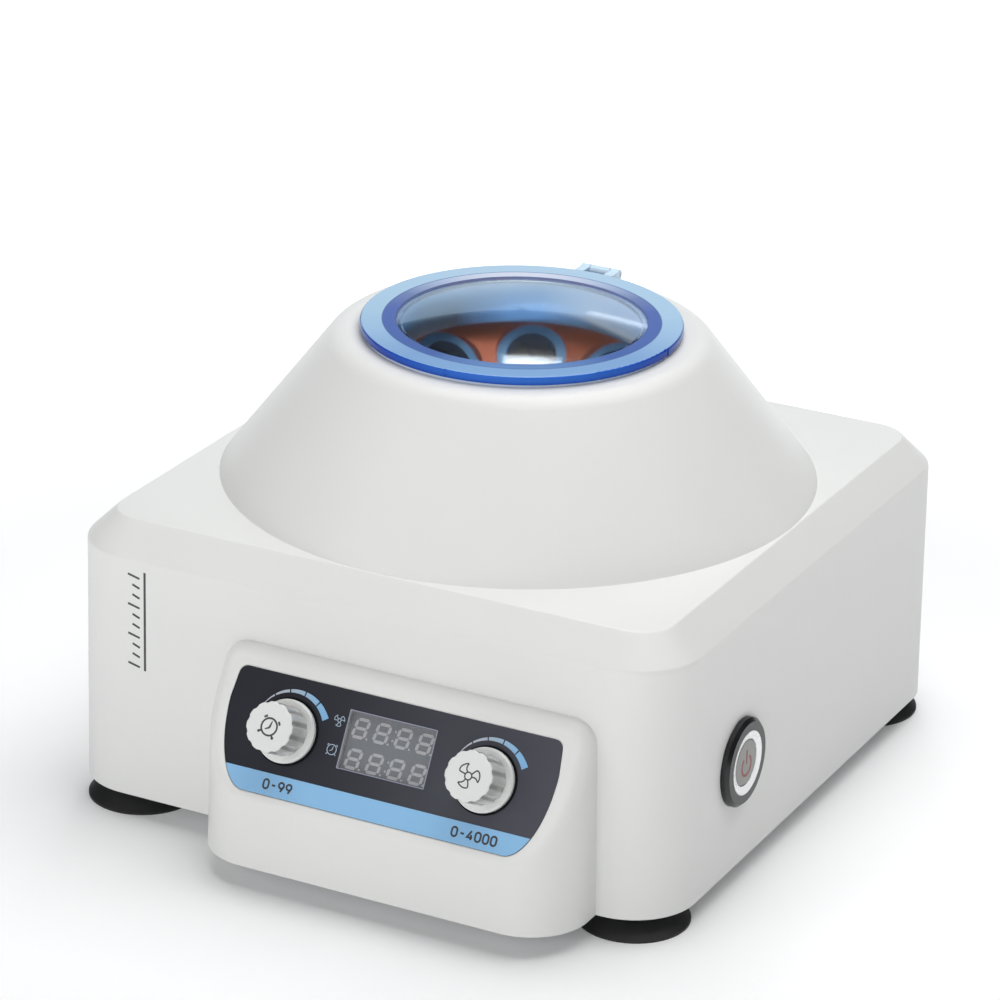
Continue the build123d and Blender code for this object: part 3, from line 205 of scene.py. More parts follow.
def ramp(material, factor, stops):
    """A colour ramp: stops are (position, colour)."""
    node = add_node(material, "ShaderNodeValToRGB")
    elements = node.color_ramp.elements
    while len(elements) > 1:
        elements.remove(elements[-1])
    for index, (position, colour) in enumerate(stops):
        element = elements[0] if index == 0 else elements.new(position)
        element.position = position
        element.color = (*colour, 1)
    link(material, factor, node.inputs["Fac"])
    return node.outputs["Color"]


def shade(colour, amount):
    """A colour made lighter or darker."""
    return tuple(min(1.0, channel * amount) for channel in colour)


def add_tone(material, colour, scale, spread, roughness, swing):
    """Slow variation of the colour and of the roughness."""
    cloud = noise(material, scale)
    tone = ramp(material, cloud, [(0.3, shade(colour, 1 - spread)), (0.7, shade(colour, 1 + spread))])
    link(material, tone, shader_of(material).inputs["Base Color"])
    polish = add_node(material, "ShaderNodeMapRange")
    polish.inputs["To Min"].default_value = max(0.02, roughness - swing)
    polish.inputs["To Max"].default_value = roughness + swing
    link(material, noise(material, scale * 2.7), polish.inputs["Value"])
    link(material, polish.outputs[0], shader_of(material).inputs["Roughness"])


def add_bump(material, height, depth, strength=1.0):
    """Fine relief; depth is in metres."""
    bump = add_node(material, "ShaderNodeBump")
    bump.inputs["Strength"].default_value = strength
    bump.inputs["Distance"].default_value = depth
    link(material, height, bump.inputs["Height"])
    link(material, bump.outputs[0], shader_of(material).inputs["Normal"])


def moulded(name, colour, roughness, grain=1600, depth=0.00001, spread=0.015, **sockets):
    """Injection-moulded plastic or rubber with a fine spark-eroded grain."""
    material = new_material(name, colour, roughness, **sockets)
    add_tone(material, colour, 22, spread, roughness, 0.04)
    add_bump(material, noise(material, grain, 2.0), depth, 0.5)
    return material


def brushed(name, colour, roughness, stretch, metallic=1.0, scale=240, depth=0.000006):
    """Metal with fine parallel scratches across the axis with the largest stretch."""
    material = new_material(name, colour, roughness, metallic)
    add_tone(material, colour, 60, 0.05, roughness, 0.05)
    add_bump(material, noise(material, scale, 4.0, stretch), depth, 0.6)
    return material


def axis_distance(material):
    """Distance from the rotor's axis, in metres."""
    split = add_node(material, "ShaderNodeSeparateXYZ")
    link(material, coordinates(material), split.inputs[0])
    join = add_node(material, "ShaderNodeCombineXYZ")
    link(material, split.outputs["X"], join.inputs["X"])
    link(material, split.outputs["Y"], join.inputs["Y"])
    length = add_node(material, "ShaderNodeVectorMath", operation="LENGTH")
    link(material, join.outputs[0], length.inputs[0])
    return length.outputs["Value"]


def turned(name, colour, roughness, metallic, pitch, depth):
    """Metal turned on a lathe: rings about the rotor's axis."""
    material = new_material(name, colour, roughness, metallic)
    add_tone(material, colour, 30, 0.04, roughness, 0.05)
    rings = add_node(material, "ShaderNodeMath", operation="MULTIPLY")
    rings.inputs[1].default_value = 2 * math.pi / pitch
    link(material, axis_distance(material), rings.inputs[0])
    wave = add_node(material, "ShaderNodeMath", operation="SINE")
    link(material, rings.outputs[0], wave.inputs[0])
    add_bump(material, wave.outputs[0], depth, 0.5)
    return material


def scaled(material, value, low, high):
    """value mapped so that low is 0 and high is 1."""
    node = add_node(material, "ShaderNodeMapRange")
    node.inputs["From Min"].default_value = low
    node.inputs["From Max"].default_value = high
    link(material, value, node.inputs["Value"])
    return node.outputs[0]


def axes_of(material, vector):
    """The X, Y and Z outputs of a vector."""
    split = add_node(material, "ShaderNodeSeparateXYZ")
    link(material, vector, split.inputs[0])
    return split.outputs["X"], split.outputs["Y"], split.outputs["Z"]


def blended(material, factor, low, high):
    """Colour low where factor is 0 and high where it is 1. Either may be a plain colour."""
    mix = add_node(material, "ShaderNodeMix", data_type="RGBA")
    link(material, factor, mix.inputs["Factor"])
    for socket, colour in ((mix.inputs[6], low), (mix.inputs[7], high)):
        if isinstance(colour, tuple):
            socket.default_value = (*colour, 1)
        else:
            link(material, colour, socket)
    return mix.outputs[2]


def calculated(material, operation, *values):
    """A Math node on numbers and outputs."""
    node = add_node(material, "ShaderNodeMath", operation=operation)
    for socket, value in zip(node.inputs, values):
        if isinstance(value, (int, float)):
            socket.default_value = value
        else:
            link(material, value, socket)
    return node.outputs[0]


# Direction about the rotor's axis that the painted reflection and shade on the lid's ring and skirt are turned to
# face: the front right.
LID_FRONT_DEG = -63.0
HINGE_BLUE = (0.62, 0.80, 0.93)

# Colours round the lid's ring, from its back (0) to its front (1), which is at LID_FRONT_DEG: the ring's blue with
# painted reflection and shade, which change round the ring.
RING_BAND = ((0.00, (0.66, 0.70, 0.83)), (0.10, (0.40, 0.49, 0.68)), (0.25, (0.145, 0.205, 0.42)),
             (0.40, (0.07, 0.125, 0.42)), (0.88, (0.055, 0.12, 0.39)), (1.00, (0.13, 0.26, 0.54)))
RING_PLAIN = ((0.00, (0.43, 0.61, 0.78)), (0.45, (0.385, 0.575, 0.765)), (0.62, (0.33, 0.51, 0.74)),
              (0.85, (0.21, 0.375, 0.65)), (1.00, (0.22, 0.40, 0.69)))
RING_EDGE_HIGHLIGHT = ((0.0, (0.58, 0.73, 0.86)), (0.5, (0.34, 0.51, 0.72)), (0.8, (0.29, 0.49, 0.80)))
RING_LOW_SIDE = ((0.4, (0.02, 0.05, 0.22)), (0.75, (0.001, 0.014, 0.26)), (1.0, (0.012, 0.075, 0.44)))
RING_HIGH_SIDE = ((0.4, (0.08, 0.15, 0.38)), (0.75, (0.004, 0.045, 0.38)), (1.0, (0.03, 0.14, 0.58)))
RING_LINE = (0.07, 0.13, 0.36)
RING_INNER_WALL = (0.26, 0.33, 0.60)
RING_PAINTED_WIDTH = 16 * MM


def frontness(material):
    """1 where the lid is nearest to the housing's front right corner, and -1 opposite."""
    flat = add_node(material, "ShaderNodeVectorMath", operation="MULTIPLY")
    flat.inputs[1].default_value = (1, 1, 0)
    link(material, coordinates(material), flat.inputs[0])
    unit = add_node(material, "ShaderNodeVectorMath", operation="NORMALIZE")
    link(material, flat.outputs[0], unit.inputs[0])
    dot = add_node(material, "ShaderNodeVectorMath", operation="DOT_PRODUCT")
    front = math.radians(LID_FRONT_DEG)
    dot.inputs[1].default_value = (math.cos(front), math.sin(front), 0)
    link(material, unit.outputs[0], dot.inputs[0])
    return dot.outputs["Value"]


def lid_blue_material():
    """Tinted clear ring: pale on the flat top, deep royal blue where the edge is seen through its width, all
    painted, with painted reflection, highlight and shade that change round the ring.
    """
    material = new_material("lid_blue", (0.30, 0.48, 0.67), 0.20, Specular_IOR_Level=0.3)
    shader_of(material).inputs["Specular Tint"].default_value = (0.45, 0.65, 1.0, 1)
    lo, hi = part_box("lid_ring")
    outer_radius = hi.x
    distance = axis_distance(material)
    radius = scaled(material, distance, outer_radius - RING_PAINTED_WIDTH, outer_radius)
    front = scaled(material, frontness(material), -1, 1)
    band, plain, edge, low_side, high_side = (
        ramp(material, front, stops)
        for stops in (RING_BAND, RING_PLAIN, RING_EDGE_HIGHLIGHT, RING_LOW_SIDE, RING_HIGH_SIDE))
    # The flat top: band, thin line and plain ring, each with painted reflection that changes round the ring, and a
    # painted highlight along the outer edge.
    top = blended(material, scaled(material, radius, 0.45, 0.47), band, RING_LINE)
    top = blended(material, scaled(material, radius, 0.475, 0.50), top, plain)
    top = blended(material, scaled(material, radius, 0.93, 0.98), top, edge)
    # The sides: painted shade, darker towards the bottom and changing round the ring.
    height = scaled(material, axes_of(material, coordinates(material))[2], lo.z, hi.z - 2 * MM)
    side = blended(material, scaled(material, height, 0.3, 0.9), low_side, high_side)
    rim = scaled(material, distance, outer_radius - 1.0 * MM, outer_radius - 0.6 * MM)
    side = blended(material, rim, RING_INNER_WALL, side)
    facing = scaled(material, axes_of(material, coordinates(material, "Normal"))[2], 0.75, 0.97)
    ring = blended(material, facing, side, top)
    at_hinge = scaled(material, distance, outer_radius + 0.1 * MM, outer_radius + 0.4 * MM)
    colour = blended(material, at_hinge, ring, HINGE_BLUE)
    link(material, colour, shader_of(material).inputs["Base Color"])
    add_bump(material, noise(material, 90, 1.0), 0.00004, 0.15)
    return material


def clear_material(name, tint, roughness):
    """Clear moulded plastic: bends and mirrors light, and lets the lamps through to what it covers."""
    material = new_material(name, tint, roughness, Transmission_Weight=1.0, IOR=1.45,
                            Coat_Weight=0.3, Coat_Roughness=0.15)
    shader_of(material).inputs["Specular Tint"].default_value = (0.60, 0.84, 1.0, 1)
    output = material.node_tree.nodes["Material Output"]
    mix = add_node(material, "ShaderNodeMixShader")
    open_way = add_node(material, "ShaderNodeBsdfTransparent")
    open_way.inputs["Color"].default_value = (*tint, 1)
    path = add_node(material, "ShaderNodeLightPath")
    link(material, path.outputs["Is Shadow Ray"], mix.inputs["Fac"])
    link(material, shader_of(material).outputs["BSDF"], mix.inputs[1])
    link(material, open_way.outputs[0], mix.inputs[2])
    link(material, mix.outputs[0], output.inputs["Surface"])
    add_bump(material, noise(material, 40, 1.0), 0.00002, 0.1)
    return material


SLEEVE_BLUE = (0.12, 0.31, 0.52)
# Painted shade down the tube wells' bores.
BORE_SHADE_NAVY = (0.010, 0.028, 0.075)
WELL_EDGE = 10.0 * MM
COLLAR_EDGE = 13.3 * MM
WELL_COUNT = 8
WELL_SHADE_DEPTH = 10 * MM


def from_well_axis(material):
    """Distance from the nearest tube well's axis, and how deep below the wells' mouths, in metres."""
    well = next(mount for mount in frame["record"]["mounts"] if mount["name"] == "tube_well_1")
    axis, place = Vector(well["axis"]), Vector(well["pos_m"])
    mouth = place + axis * well["dims"]["length_mm"] / 2 * MM
    if axis.z < 0 or mouth.z < place.z:
        axis, mouth = -axis, place - axis * well["dims"]["length_mm"] / 2 * MM
    lean = math.hypot(axis.x, axis.y)
    start = math.atan2(mouth.y, mouth.x)
    circle_radius = math.hypot(mouth.x, mouth.y)
    step = 2 * math.pi / WELL_COUNT
    x, y, z = axes_of(material, coordinates(material))
    angle = calculated(material, "SUBTRACT", calculated(material, "ARCTAN2", y, x), start)
    turns = calculated(material, "ROUND", calculated(material, "DIVIDE", angle, step))
    local = calculated(material, "SUBTRACT", angle, calculated(material, "MULTIPLY", turns, step))
    reach = axis_distance(material)
    out = calculated(material, "MULTIPLY", reach, calculated(material, "COSINE", local))
    out = calculated(material, "SUBTRACT", out, circle_radius)
    across = calculated(material, "MULTIPLY", reach, calculated(material, "SINE", local))
    above = calculated(material, "SUBTRACT", z, mouth.z)
    away = calculated(material, "ADD", calculated(material, "MULTIPLY", out, axis.z),
                      calculated(material, "MULTIPLY", above, lean))
    along = calculated(material, "SUBTRACT", calculated(material, "MULTIPLY", out, lean),
                       calculated(material, "MULTIPLY", above, axis.z))
    squares = calculated(material, "ADD", calculated(material, "POWER", away, 2.0),
                         calculated(material, "POWER", across, 2.0))
    return calculated(material, "SQRT", squares), along


def sleeve_material():
    """Blue tube sleeves: blue at the collar, with painted shade darkening to deep navy down the bore."""
    material = new_material("sleeve_plastic", SLEEVE_BLUE, 0.25, Coat_Weight=0.3)
    from_axis, depth = from_well_axis(material)
    bore_shade = ramp(material, scaled(material, depth, 0.0, WELL_SHADE_DEPTH),
                  [(0.0, (0.03, 0.07, 0.13)), (0.4, BORE_SHADE_NAVY)])
    outside = scaled(material, from_axis, WELL_EDGE - 0.2 * MM, WELL_EDGE + 0.2 * MM)
    link(material, blended(material, outside, bore_shade, SLEEVE_BLUE), shader_of(material).inputs["Base Color"])
    add_bump(material, noise(material, 700, 2.0), 0.000008, 0.4)
    return material


def rotor_material():
    """Copper-brown rotor, turned on a lathe, with a blue collar round each tube well."""
    colour = (0.50, 0.090, 0.015)
    material = turned("rotor_shell", colour, 0.36, 0.3, 0.7 * MM, 0.000012)
    shader = shader_of(material)
    copper = shader.inputs["Base Color"].links[0].from_socket
    from_axis, _ = from_well_axis(material)
    collar = scaled(material, from_axis, COLLAR_EDGE - 0.15 * MM, COLLAR_EDGE + 0.15 * MM)
    link(material, blended(material, collar, SLEEVE_BLUE, copper), shader.inputs["Base Color"])
    link(material, calculated(material, "MULTIPLY", collar, 0.3), shader.inputs["Metallic"])
    return material


KNOB_WHITE = (0.74, 0.75, 0.74)
FLUTE_BOTTOM = 8.85 * MM
GRIP_RADIUS = 9.3 * MM
# Painted shade on the knobs' fluted sides, from the flutes' bottoms (0) out to their crests (1).
FLUTE_SHADES = ((0.0, (0.30, 0.30, 0.285)), (0.5, (0.40, 0.40, 0.385)), (1.0, (0.58, 0.585, 0.575)))


def knob_material(which):
    """Glossy white knob with painted shade on its fluted sides: darker than the white top and skirt, and darkest
    at the flutes' bottoms.
    """
    material = new_material(f"{which}_knob_plastic", KNOB_WHITE, 0.2, Coat_Weight=0.3, Coat_Roughness=0.1)
    joint = joints[f"{which}_turn"]
    centre, axis = Vector(joint["pos_m"]), Vector(joint["axis"]).normalized()
    offset = add_node(material, "ShaderNodeVectorMath", operation="SUBTRACT")
    offset.inputs[1].default_value = centre
    link(material, coordinates(material), offset.inputs[0])
    cross = add_node(material, "ShaderNodeVectorMath", operation="CROSS_PRODUCT")
    cross.inputs[1].default_value = axis
    link(material, offset.outputs[0], cross.inputs[0])
    length = add_node(material, "ShaderNodeVectorMath", operation="LENGTH")
    link(material, cross.outputs[0], length.inputs[0])
    facing = add_node(material, "ShaderNodeVectorMath", operation="DOT_PRODUCT")
    facing.inputs[1].default_value = axis
    link(material, coordinates(material, "Normal"), facing.inputs[0])
    radius = length.outputs["Value"]
    flute = ramp(material, scaled(material, radius, FLUTE_BOTTOM, GRIP_RADIUS), FLUTE_SHADES)
    on_skirt = scaled(material, radius, GRIP_RADIUS + 0.2 * MM, GRIP_RADIUS + 0.6 * MM)
    side = blended(material, on_skirt, flute, KNOB_WHITE)
    top = scaled(material, facing.outputs["Value"], 0.35, 0.75)
    link(material, blended(material, top, side, KNOB_WHITE), shader_of(material).inputs["Base Color"])
    add_bump(material, noise(material, 900, 2.0), 0.000006, 0.4)
    return material


OVERLAY_FADE = ((0.0, (0.024, 0.025, 0.034)), (0.35, (0.034, 0.036, 0.046)),
                (0.7, (0.066, 0.070, 0.085)), (1.0, (0.082, 0.082, 0.102)))


def overlay_material():
    """Dark membrane with a fine sparkle grain, a little paler to the right."""
    material = new_material("overlay_film", (0.05, 0.05, 0.062), 0.5, Specular_IOR_Level=0.12)
    lo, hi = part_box("control_overlay")
    across = scaled(material, axes_of(material, coordinates(material))[0], lo.x, hi.x)
    fade = ramp(material, across, OVERLAY_FADE)
    cloud = ramp(material, noise(material, 35), [(0.3, (0.94, 0.94, 0.94)), (0.7, (1.0, 1.0, 1.0))])
    tint = add_node(material, "ShaderNodeMix", data_type="RGBA", blend_type="MULTIPLY")
    tint.inputs["Factor"].default_value = 1.0
    link(material, fade, tint.inputs[6])
    link(material, cloud, tint.inputs[7])
    link(material, tint.outputs[2], shader_of(material).inputs["Base Color"])
    add_bump(material, noise(material, 2600, 2.0), 0.000012, 0.6)
    return material


SHELL = (0.80, 0.805, 0.79)
BLUE_PRINT = (0.25, 0.51, 0.80)
GREY_INK = (0.052, 0.058, 0.062)

joints = {joint["name"]: joint for joint in frame["joints"]}

# Colour and roughness of each moulded plastic or rubber, then its grain, depth of grain and spread.
MOULDED = {
    "housing_shell": (SHELL, 0.42, 1500, 0.000012, 0.008),
    "foot_rubber": ((0.012, 0.012, 0.013), 0.55, 900, 0.00003, 0.15),
    "seal_rubber": ((0.030, 0.030, 0.032), 0.6, 900, 0.00003, 0.1),
    "motor_paint": ((0.045, 0.048, 0.055), 0.4, 700, 0.00003, 0.1),
    "magnet": ((0.05, 0.05, 0.055), 0.6, 1200, 0.00003, 0.2),
    "lid_seal": ((0.72, 0.82, 0.95), 0.35, 900, 0.00001, 0.02),
    "hinge_blue": (HINGE_BLUE, 0.15, 500, 0.000006, 0.06),
    "display_module": ((0.20, 0.205, 0.215), 0.5),
    "circuit_board": ((0.015, 0.10, 0.045), 0.3, 500, 0.00001, 0.12),
    "contact_plastic": ((0.03, 0.03, 0.033), 0.45),
    "knob_plastic": ((0.79, 0.795, 0.785), 0.24, 900, 0.000006, 0.01),
    "bezel_plastic": ((0.010, 0.0105, 0.012), 0.30, 1800, 0.00001, 0.08),
    "barrel_plastic": ((0.02, 0.02, 0.022), 0.5),
    "inlet_plastic": ((0.015, 0.015, 0.017), 0.42, 1500, 0.00002, 0.1),
    "component_plastic": ((0.03, 0.03, 0.035), 0.35),
    "lead_sleeve": ((0.05, 0.05, 0.06), 0.5),
}

# Colour, roughness and stretch of each brushed metal, then how metallic it is, its scale and its depth.
BRUSHED = {
    "base_sheet": ((0.52, 0.53, 0.54), 0.42, (1, 8, 1)),
    "screw_steel": ((0.60, 0.61, 0.63), 0.30, (6, 1, 1)),
    "armature": ((0.30, 0.20, 0.13), 0.45, (1, 1, 30), 0.7, 300, 0.00002),
    "bearing_steel": ((0.70, 0.71, 0.73), 0.2, (1, 1, 20)),
    "nut_brass": ((0.70, 0.50, 0.22), 0.3, (1, 1, 12)),
    "encoder_metal": ((0.62, 0.63, 0.65), 0.3, (1, 10, 1)),
    "switch_metal": ((0.93, 0.93, 0.94), 0.28, (1, 14, 14), 0.4),
    "button_metal": ((0.26, 0.26, 0.25), 0.34, (1, 1, 16), 0.5),
}

materials = {
    "bowl_steel": turned("bowl_steel", (0.62, 0.63, 0.64), 0.32, 0.9, 0.9 * MM, 0.00001),
    "rotor_shell": rotor_material(),
    "sleeve_plastic": sleeve_material(),
    "lid_blue": lid_blue_material(),
    "lid_clear": clear_material("lid_clear", (0.87, 0.94, 1.0), 0.045),
    "overlay_film": overlay_material(),
    "display_glass": new_material("display_glass", (0.25, 0.26, 0.28), 0.12, Alpha=0.15),
}
for name, values in MOULDED.items():
    materials[name] = moulded(name, *values)
for name, values in BRUSHED.items():
    materials[name] = brushed(name, *values)

for part in frame["record"]["subparts"]:
    node = frame["nodes"][part["node"]]
    node.data.materials.clear()
    node.data.materials.append(materials[part["material_slot"]])
for knob in ("time", "speed"):
    frame["nodes"][f"{knob}_knob"].data.materials[0] = knob_material(knob)

# ---------------------------------------------------------------- mesh helpers


def add_slab(bm, outline, low, high):
    """A flat closed outline, given a thickness from low to high."""
    bottom = [bm.verts.new((x, y, low)) for x, y in outline]
    top = [bm.verts.new((x, y, high)) for x, y in outline]
    bm.faces.new(top)
    bm.faces.new(list(reversed(bottom)))
    for index in range(len(outline)):
        after = (index + 1) % len(outline)
        bm.faces.new((bottom[index], bottom[after], top[after], top[index]))


def add_stroke(bm, points, widths, low, high, closed=False):
    """A flat ribbon along points, as wide at each point as widths says, given a thickness."""
    points = [Vector(point) for point in points]
    if not isinstance(widths, (list, tuple)):
        widths = [widths] * len(points)
    sections = []
    for index, point in enumerate(points):
        before = points[index - 1] if closed or index else point
        after = points[(index + 1) % len(points)] if closed or index + 1 < len(points) else point
        incoming = (point - before).normalized() if (point - before).length > 0 else None
        outgoing = (after - point).normalized() if (after - point).length > 0 else None
        along = (incoming or outgoing) + (outgoing or incoming)
        across = Vector((-along.y, along.x)).normalized()
        reference = outgoing or incoming
        stretch = max(0.5, across.dot(Vector((-reference.y, reference.x))))
        half = across * widths[index] / 2 / stretch
        corners = [(point + half, low), (point + half, high), (point - half, high), (point - half, low)]
        sections.append([bm.verts.new((p.x, p.y, z)) for p, z in corners])
    count = len(sections)
    for index in range(count if closed else count - 1):
        here, there = sections[index], sections[(index + 1) % count]
        for side in range(4):
            after = (side + 1) % 4
            bm.faces.new((here[side], here[after], there[after], there[side]))
    if not closed:
        bm.faces.new(sections[0])
        bm.faces.new(list(reversed(sections[-1])))


def arc(centre, radius, start, end, steps):
    """Points along an arc, in degrees."""
    angles = [math.radians(start + (end - start) * index / steps) for index in range(steps + 1)]
    return [(centre[0] + radius * math.cos(a), centre[1] + radius * math.sin(a)) for a in angles]


def polar(centre, radius, degrees):
    """The point at a distance and an angle from a centre."""
    return arc(centre, radius, degrees, degrees, 1)[0]


def circle(centre, radius, steps=32):
    """Points round a circle, the first one not repeated."""
    return arc(centre, radius, 0, 360, steps)[:-1]


def add_revolved(bm, profile, steps, rounded):
    """A closed profile of (radius, height) turned about the Z axis."""
    rings = []
    for step in range(steps):
        angle = 2 * math.pi * step / steps
        rings.append([bm.verts.new((r * math.cos(angle), r * math.sin(angle), z)) for r, z in profile])
    for step in range(steps):
        here, there = rings[step], rings[(step + 1) % steps]
        for side in range(len(profile)):
            after = (side + 1) % len(profile)
            bm.faces.new((here[side], here[after], there[after], there[side])).smooth = rounded


def make_piece(name, bm, place, body, look):
    """Turns a bmesh into a piece that rides on a body."""
    mesh = bpy.data.meshes.new(name)
    bmesh.ops.recalc_face_normals(bm, faces=bm.faces)
    bm.to_mesh(mesh)
    bm.free()
    mesh.transform(place)
    mesh.materials.append(look)
    piece = bpy.data.objects.new(name, mesh)
    scene.collection.objects.link(piece)
    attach(piece, body)


# ---------------------------------------------------------------- the panel's own axes

KNOB_ROW = 26.3 * MM


def panel_matrix():
    """Axes of the tilted panel: +X, up the slope and outward, from the fold line at x = 0."""
    centre = Vector(joints["time_turn"]["pos_m"])
    outward = Vector(joints["time_turn"]["axis"]).normalized()
    right = Vector((1, 0, 0))
    up = outward.cross(right)
    origin = centre - up * KNOB_ROW - right * centre.x
    matrix = Matrix((right, up, outward)).transposed().to_4x4()
    matrix.translation = origin
    return matrix


panel = panel_matrix()
to_panel = panel.inverted()


def panel_box(node):
    """Lowest and highest corners of a CAD node in the panel's own axes."""
    points = [to_panel @ vertex.co for vertex in frame["nodes"][node].data.vertices]
    low = Vector([min(p[axis] for p in points) for axis in range(3)])
    high = Vector([max(p[axis] for p in points) for axis in range(3)])
    return low, high


INK = 0.03 * MM
overlay_low, overlay_high = panel_box("control_overlay")
overlay_face = overlay_high.z
knob_x = {"time": joints["time_turn"]["pos_m"][0], "speed": joints["speed_turn"]["pos_m"][0]}

# ---------------------------------------------------------------- prints on the overlay

STRIPE_TOP = 10.24 * MM
SWEEP_WIDTH = 14.0 * MM
SWEEP_CENTRE = 34.0 * MM
SWEEP_HEIGHT = 32.0 * MM
STRIPE_MARGIN = 0.12 * MM

blue_print = moulded("blue_print", BLUE_PRINT, 0.4, grain=2600, depth=0.000008, spread=0.02)
pale_print = moulded("pale_print", (0.40, 0.50, 0.62), 0.4, grain=2600, depth=0.000008)
dark_print = moulded("dark_print", (0.030, 0.035, 0.050), 0.45, grain=2600, depth=0.000008)
grey_print = moulded("grey_print", GREY_INK, 0.5, grain=2600, depth=0.000008)


def add_overlay_stripe():
    """The blue band that fills the bottom of the overlay, between its sweeping corners."""
    middle = (overlay_low.x + overlay_high.x) / 2
    half = (overlay_high.x - overlay_low.x) / 2
    bottom = overlay_low.y + STRIPE_MARGIN
    side = half - SWEEP_WIDTH
    end = math.degrees(math.asin((SWEEP_CENTRE - STRIPE_TOP) / (SWEEP_HEIGHT - STRIPE_MARGIN)))
    corner = []
    for index in range(SWEEP_STEPS + 1):
        angle = math.radians(90 - (90 - end) * index / SWEEP_STEPS)
        x = side + (SWEEP_WIDTH - STRIPE_MARGIN) * math.cos(angle)
        y = SWEEP_CENTRE - (SWEEP_CENTRE - bottom) * math.sin(angle)
        corner.append((x, y))
    outline = [(middle + x, y) for x, y in corner]
    outline += [(middle - x, y) for x, y in reversed(corner)]
    bm = bmesh.new()
    add_slab(bm, outline, overlay_face, overlay_face + INK)
    make_piece("overlay_stripe", bm, panel, "housing", blue_print)


LEVEL_INNER = 14.3 * MM
LEVEL_WIDTHS = (0.15 * MM, 2.6 * MM)
LEVEL_ANGLES = (149.0, 28.6)
LEVEL_BLOCKS = 5
LEVEL_GAP = 2.0
BLOCK_STEPS = 8
SWEEP_STEPS = 24


LEVEL_COLOURS = ((0.0, (0.60, 0.58, 0.66)), (0.35, (0.44, 0.55, 0.64)), (0.60, (0.34, 0.53, 0.73)),
                 (0.80, BLUE_PRINT), (1.0, (0.21, 0.46, 0.78)))


def level_material():
    """Level arc: greyish white at its thin end, blue at its thick end."""
    material = new_material("level_print", BLUE_PRINT, 0.4)
    split = add_node(material, "ShaderNodeSeparateXYZ")
    link(material, coordinates(material, "Generated"), split.inputs[0])
    colour = ramp(material, split.outputs["X"], LEVEL_COLOURS)
    link(material, colour, shader_of(material).inputs["Base Color"])
    add_bump(material, noise(material, 2600, 2.0), 0.000008, 0.5)
    return material


def add_level_arc(which, look):
    """Five blocks round a knob, each one thicker than the one before."""
    bm = bmesh.new()
    start, end = LEVEL_ANGLES
    pitch = (end - start) / LEVEL_BLOCKS
    for block in range(LEVEL_BLOCKS):
        first = start + pitch * block - (LEVEL_GAP / 2 if block else 0)
        last = start + pitch * (block + 1) + (LEVEL_GAP / 2 if block < LEVEL_BLOCKS - 1 else 0)
        points, widths = [], []
        for step in range(BLOCK_STEPS + 1):
            angle = first + (last - first) * step / BLOCK_STEPS
            share = (angle - start) / (end - start)
            width = LEVEL_WIDTHS[0] + (LEVEL_WIDTHS[1] - LEVEL_WIDTHS[0]) * share
            points.append(polar((knob_x[which], KNOB_ROW), LEVEL_INNER + width / 2, angle))
            widths.append(width)
        add_stroke(bm, points, widths, overlay_face, overlay_face + INK)
    make_piece(f"{which}_level_arc", bm, panel, "housing", look)


BELL_TURNS = (43, 137)
LEG_TURNS = (-45, -135)


def add_clock(bm, centre, size, width, low, high, turn=0.0):
    """Alarm clock sign: a ring, two bells, two legs and two hands. size is the ring's radius."""
    add_stroke(bm, circle(centre, size), width, low, high, closed=True)
    for angle in BELL_TURNS:
        middle = angle + turn
        add_stroke(bm, arc(centre, 1.32 * size, middle - 10, middle + 10, 6), width * 1.15, low, high)
    for angle in LEG_TURNS:
        foot = polar(centre, 1.38 * size, angle + turn)
        add_stroke(bm, [polar(centre, size + width * 0.4, angle + turn), foot], width, low, high)
        add_slab(bm, circle(foot, width * 0.78, 14), low, high)
    hub = polar(centre, 0.09 * size, -55)
    add_stroke(bm, [hub, polar(centre, 0.76 * size, 71)], [width * 1.3, width * 0.5], low, high)
    add_stroke(bm, [hub, polar(centre, 0.58 * size, 214)], [width * 1.0, width * 0.6], low, high)


# One blade of the fan, as (share of the reach, degrees): out along its round side to the tip, and back.
BLADE_OUT = ((0.33, 39), (0.645, 45), (0.90, 43), (0.985, 32), (1.01, 16), (1.005, -2), (1.0, -17))
BLADE_BACK = ((1.0, -17), (0.77, -6.5), (0.56, 0.5), (0.33, -2))
FAN_HUB = 0.31


def add_fan(bm, centre, size, width, low, high, turn=0.0):
    """Fan sign: a small hub ring and three outlined blades. size is the blades' reach."""
    add_stroke(bm, circle(centre, FAN_HUB * size, 24), width, low, high, closed=True)
    for blade in range(3):
        for side in (BLADE_OUT, BLADE_BACK):
            outline = [polar(centre, share * size, angle + turn + 120 * blade) for share, angle in side]
            add_stroke(bm, smooth(outline), width, low, high)


def smooth(points, steps=5):
    """A Catmull-Rom curve through points."""
    spaced = [points[0]] + list(points) + [points[-1]]
    spaced = [Vector(point) for point in spaced]
    result = []
    for index in range(1, len(spaced) - 2):
        a, b, c, d = spaced[index - 1:index + 3]
        for step in range(steps):
            t = step / steps
            result.append(0.5 * (2 * b + (c - a) * t + (2 * a - 5 * b + 4 * c - d) * t ** 2
                                 + (3 * b - a - 3 * c + d) * t ** 3))
    result.append(spaced[-2])
    return result


def add_panel_signs():
    """Fan and clock signs beside the display's two rows."""
    bm = bmesh.new()
    add_fan(bm, (0.3 * MM, 34.7 * MM), 2.1 * MM, 0.26 * MM, overlay_face, overlay_face + INK, 18)
    add_clock(bm, (0.1 * MM, 23.9 * MM), 1.85 * MM, 0.30 * MM, overlay_face, overlay_face + INK)
    make_piece("panel_signs", bm, panel, "housing", pale_print)


# ---------------------------------------------------------------- numerals under the knobs

NUMERAL_HEIGHT = 3.3 * MM
NUMERAL_STROKE = 0.74 * MM
NUMERAL_ROW = 4.6 * MM


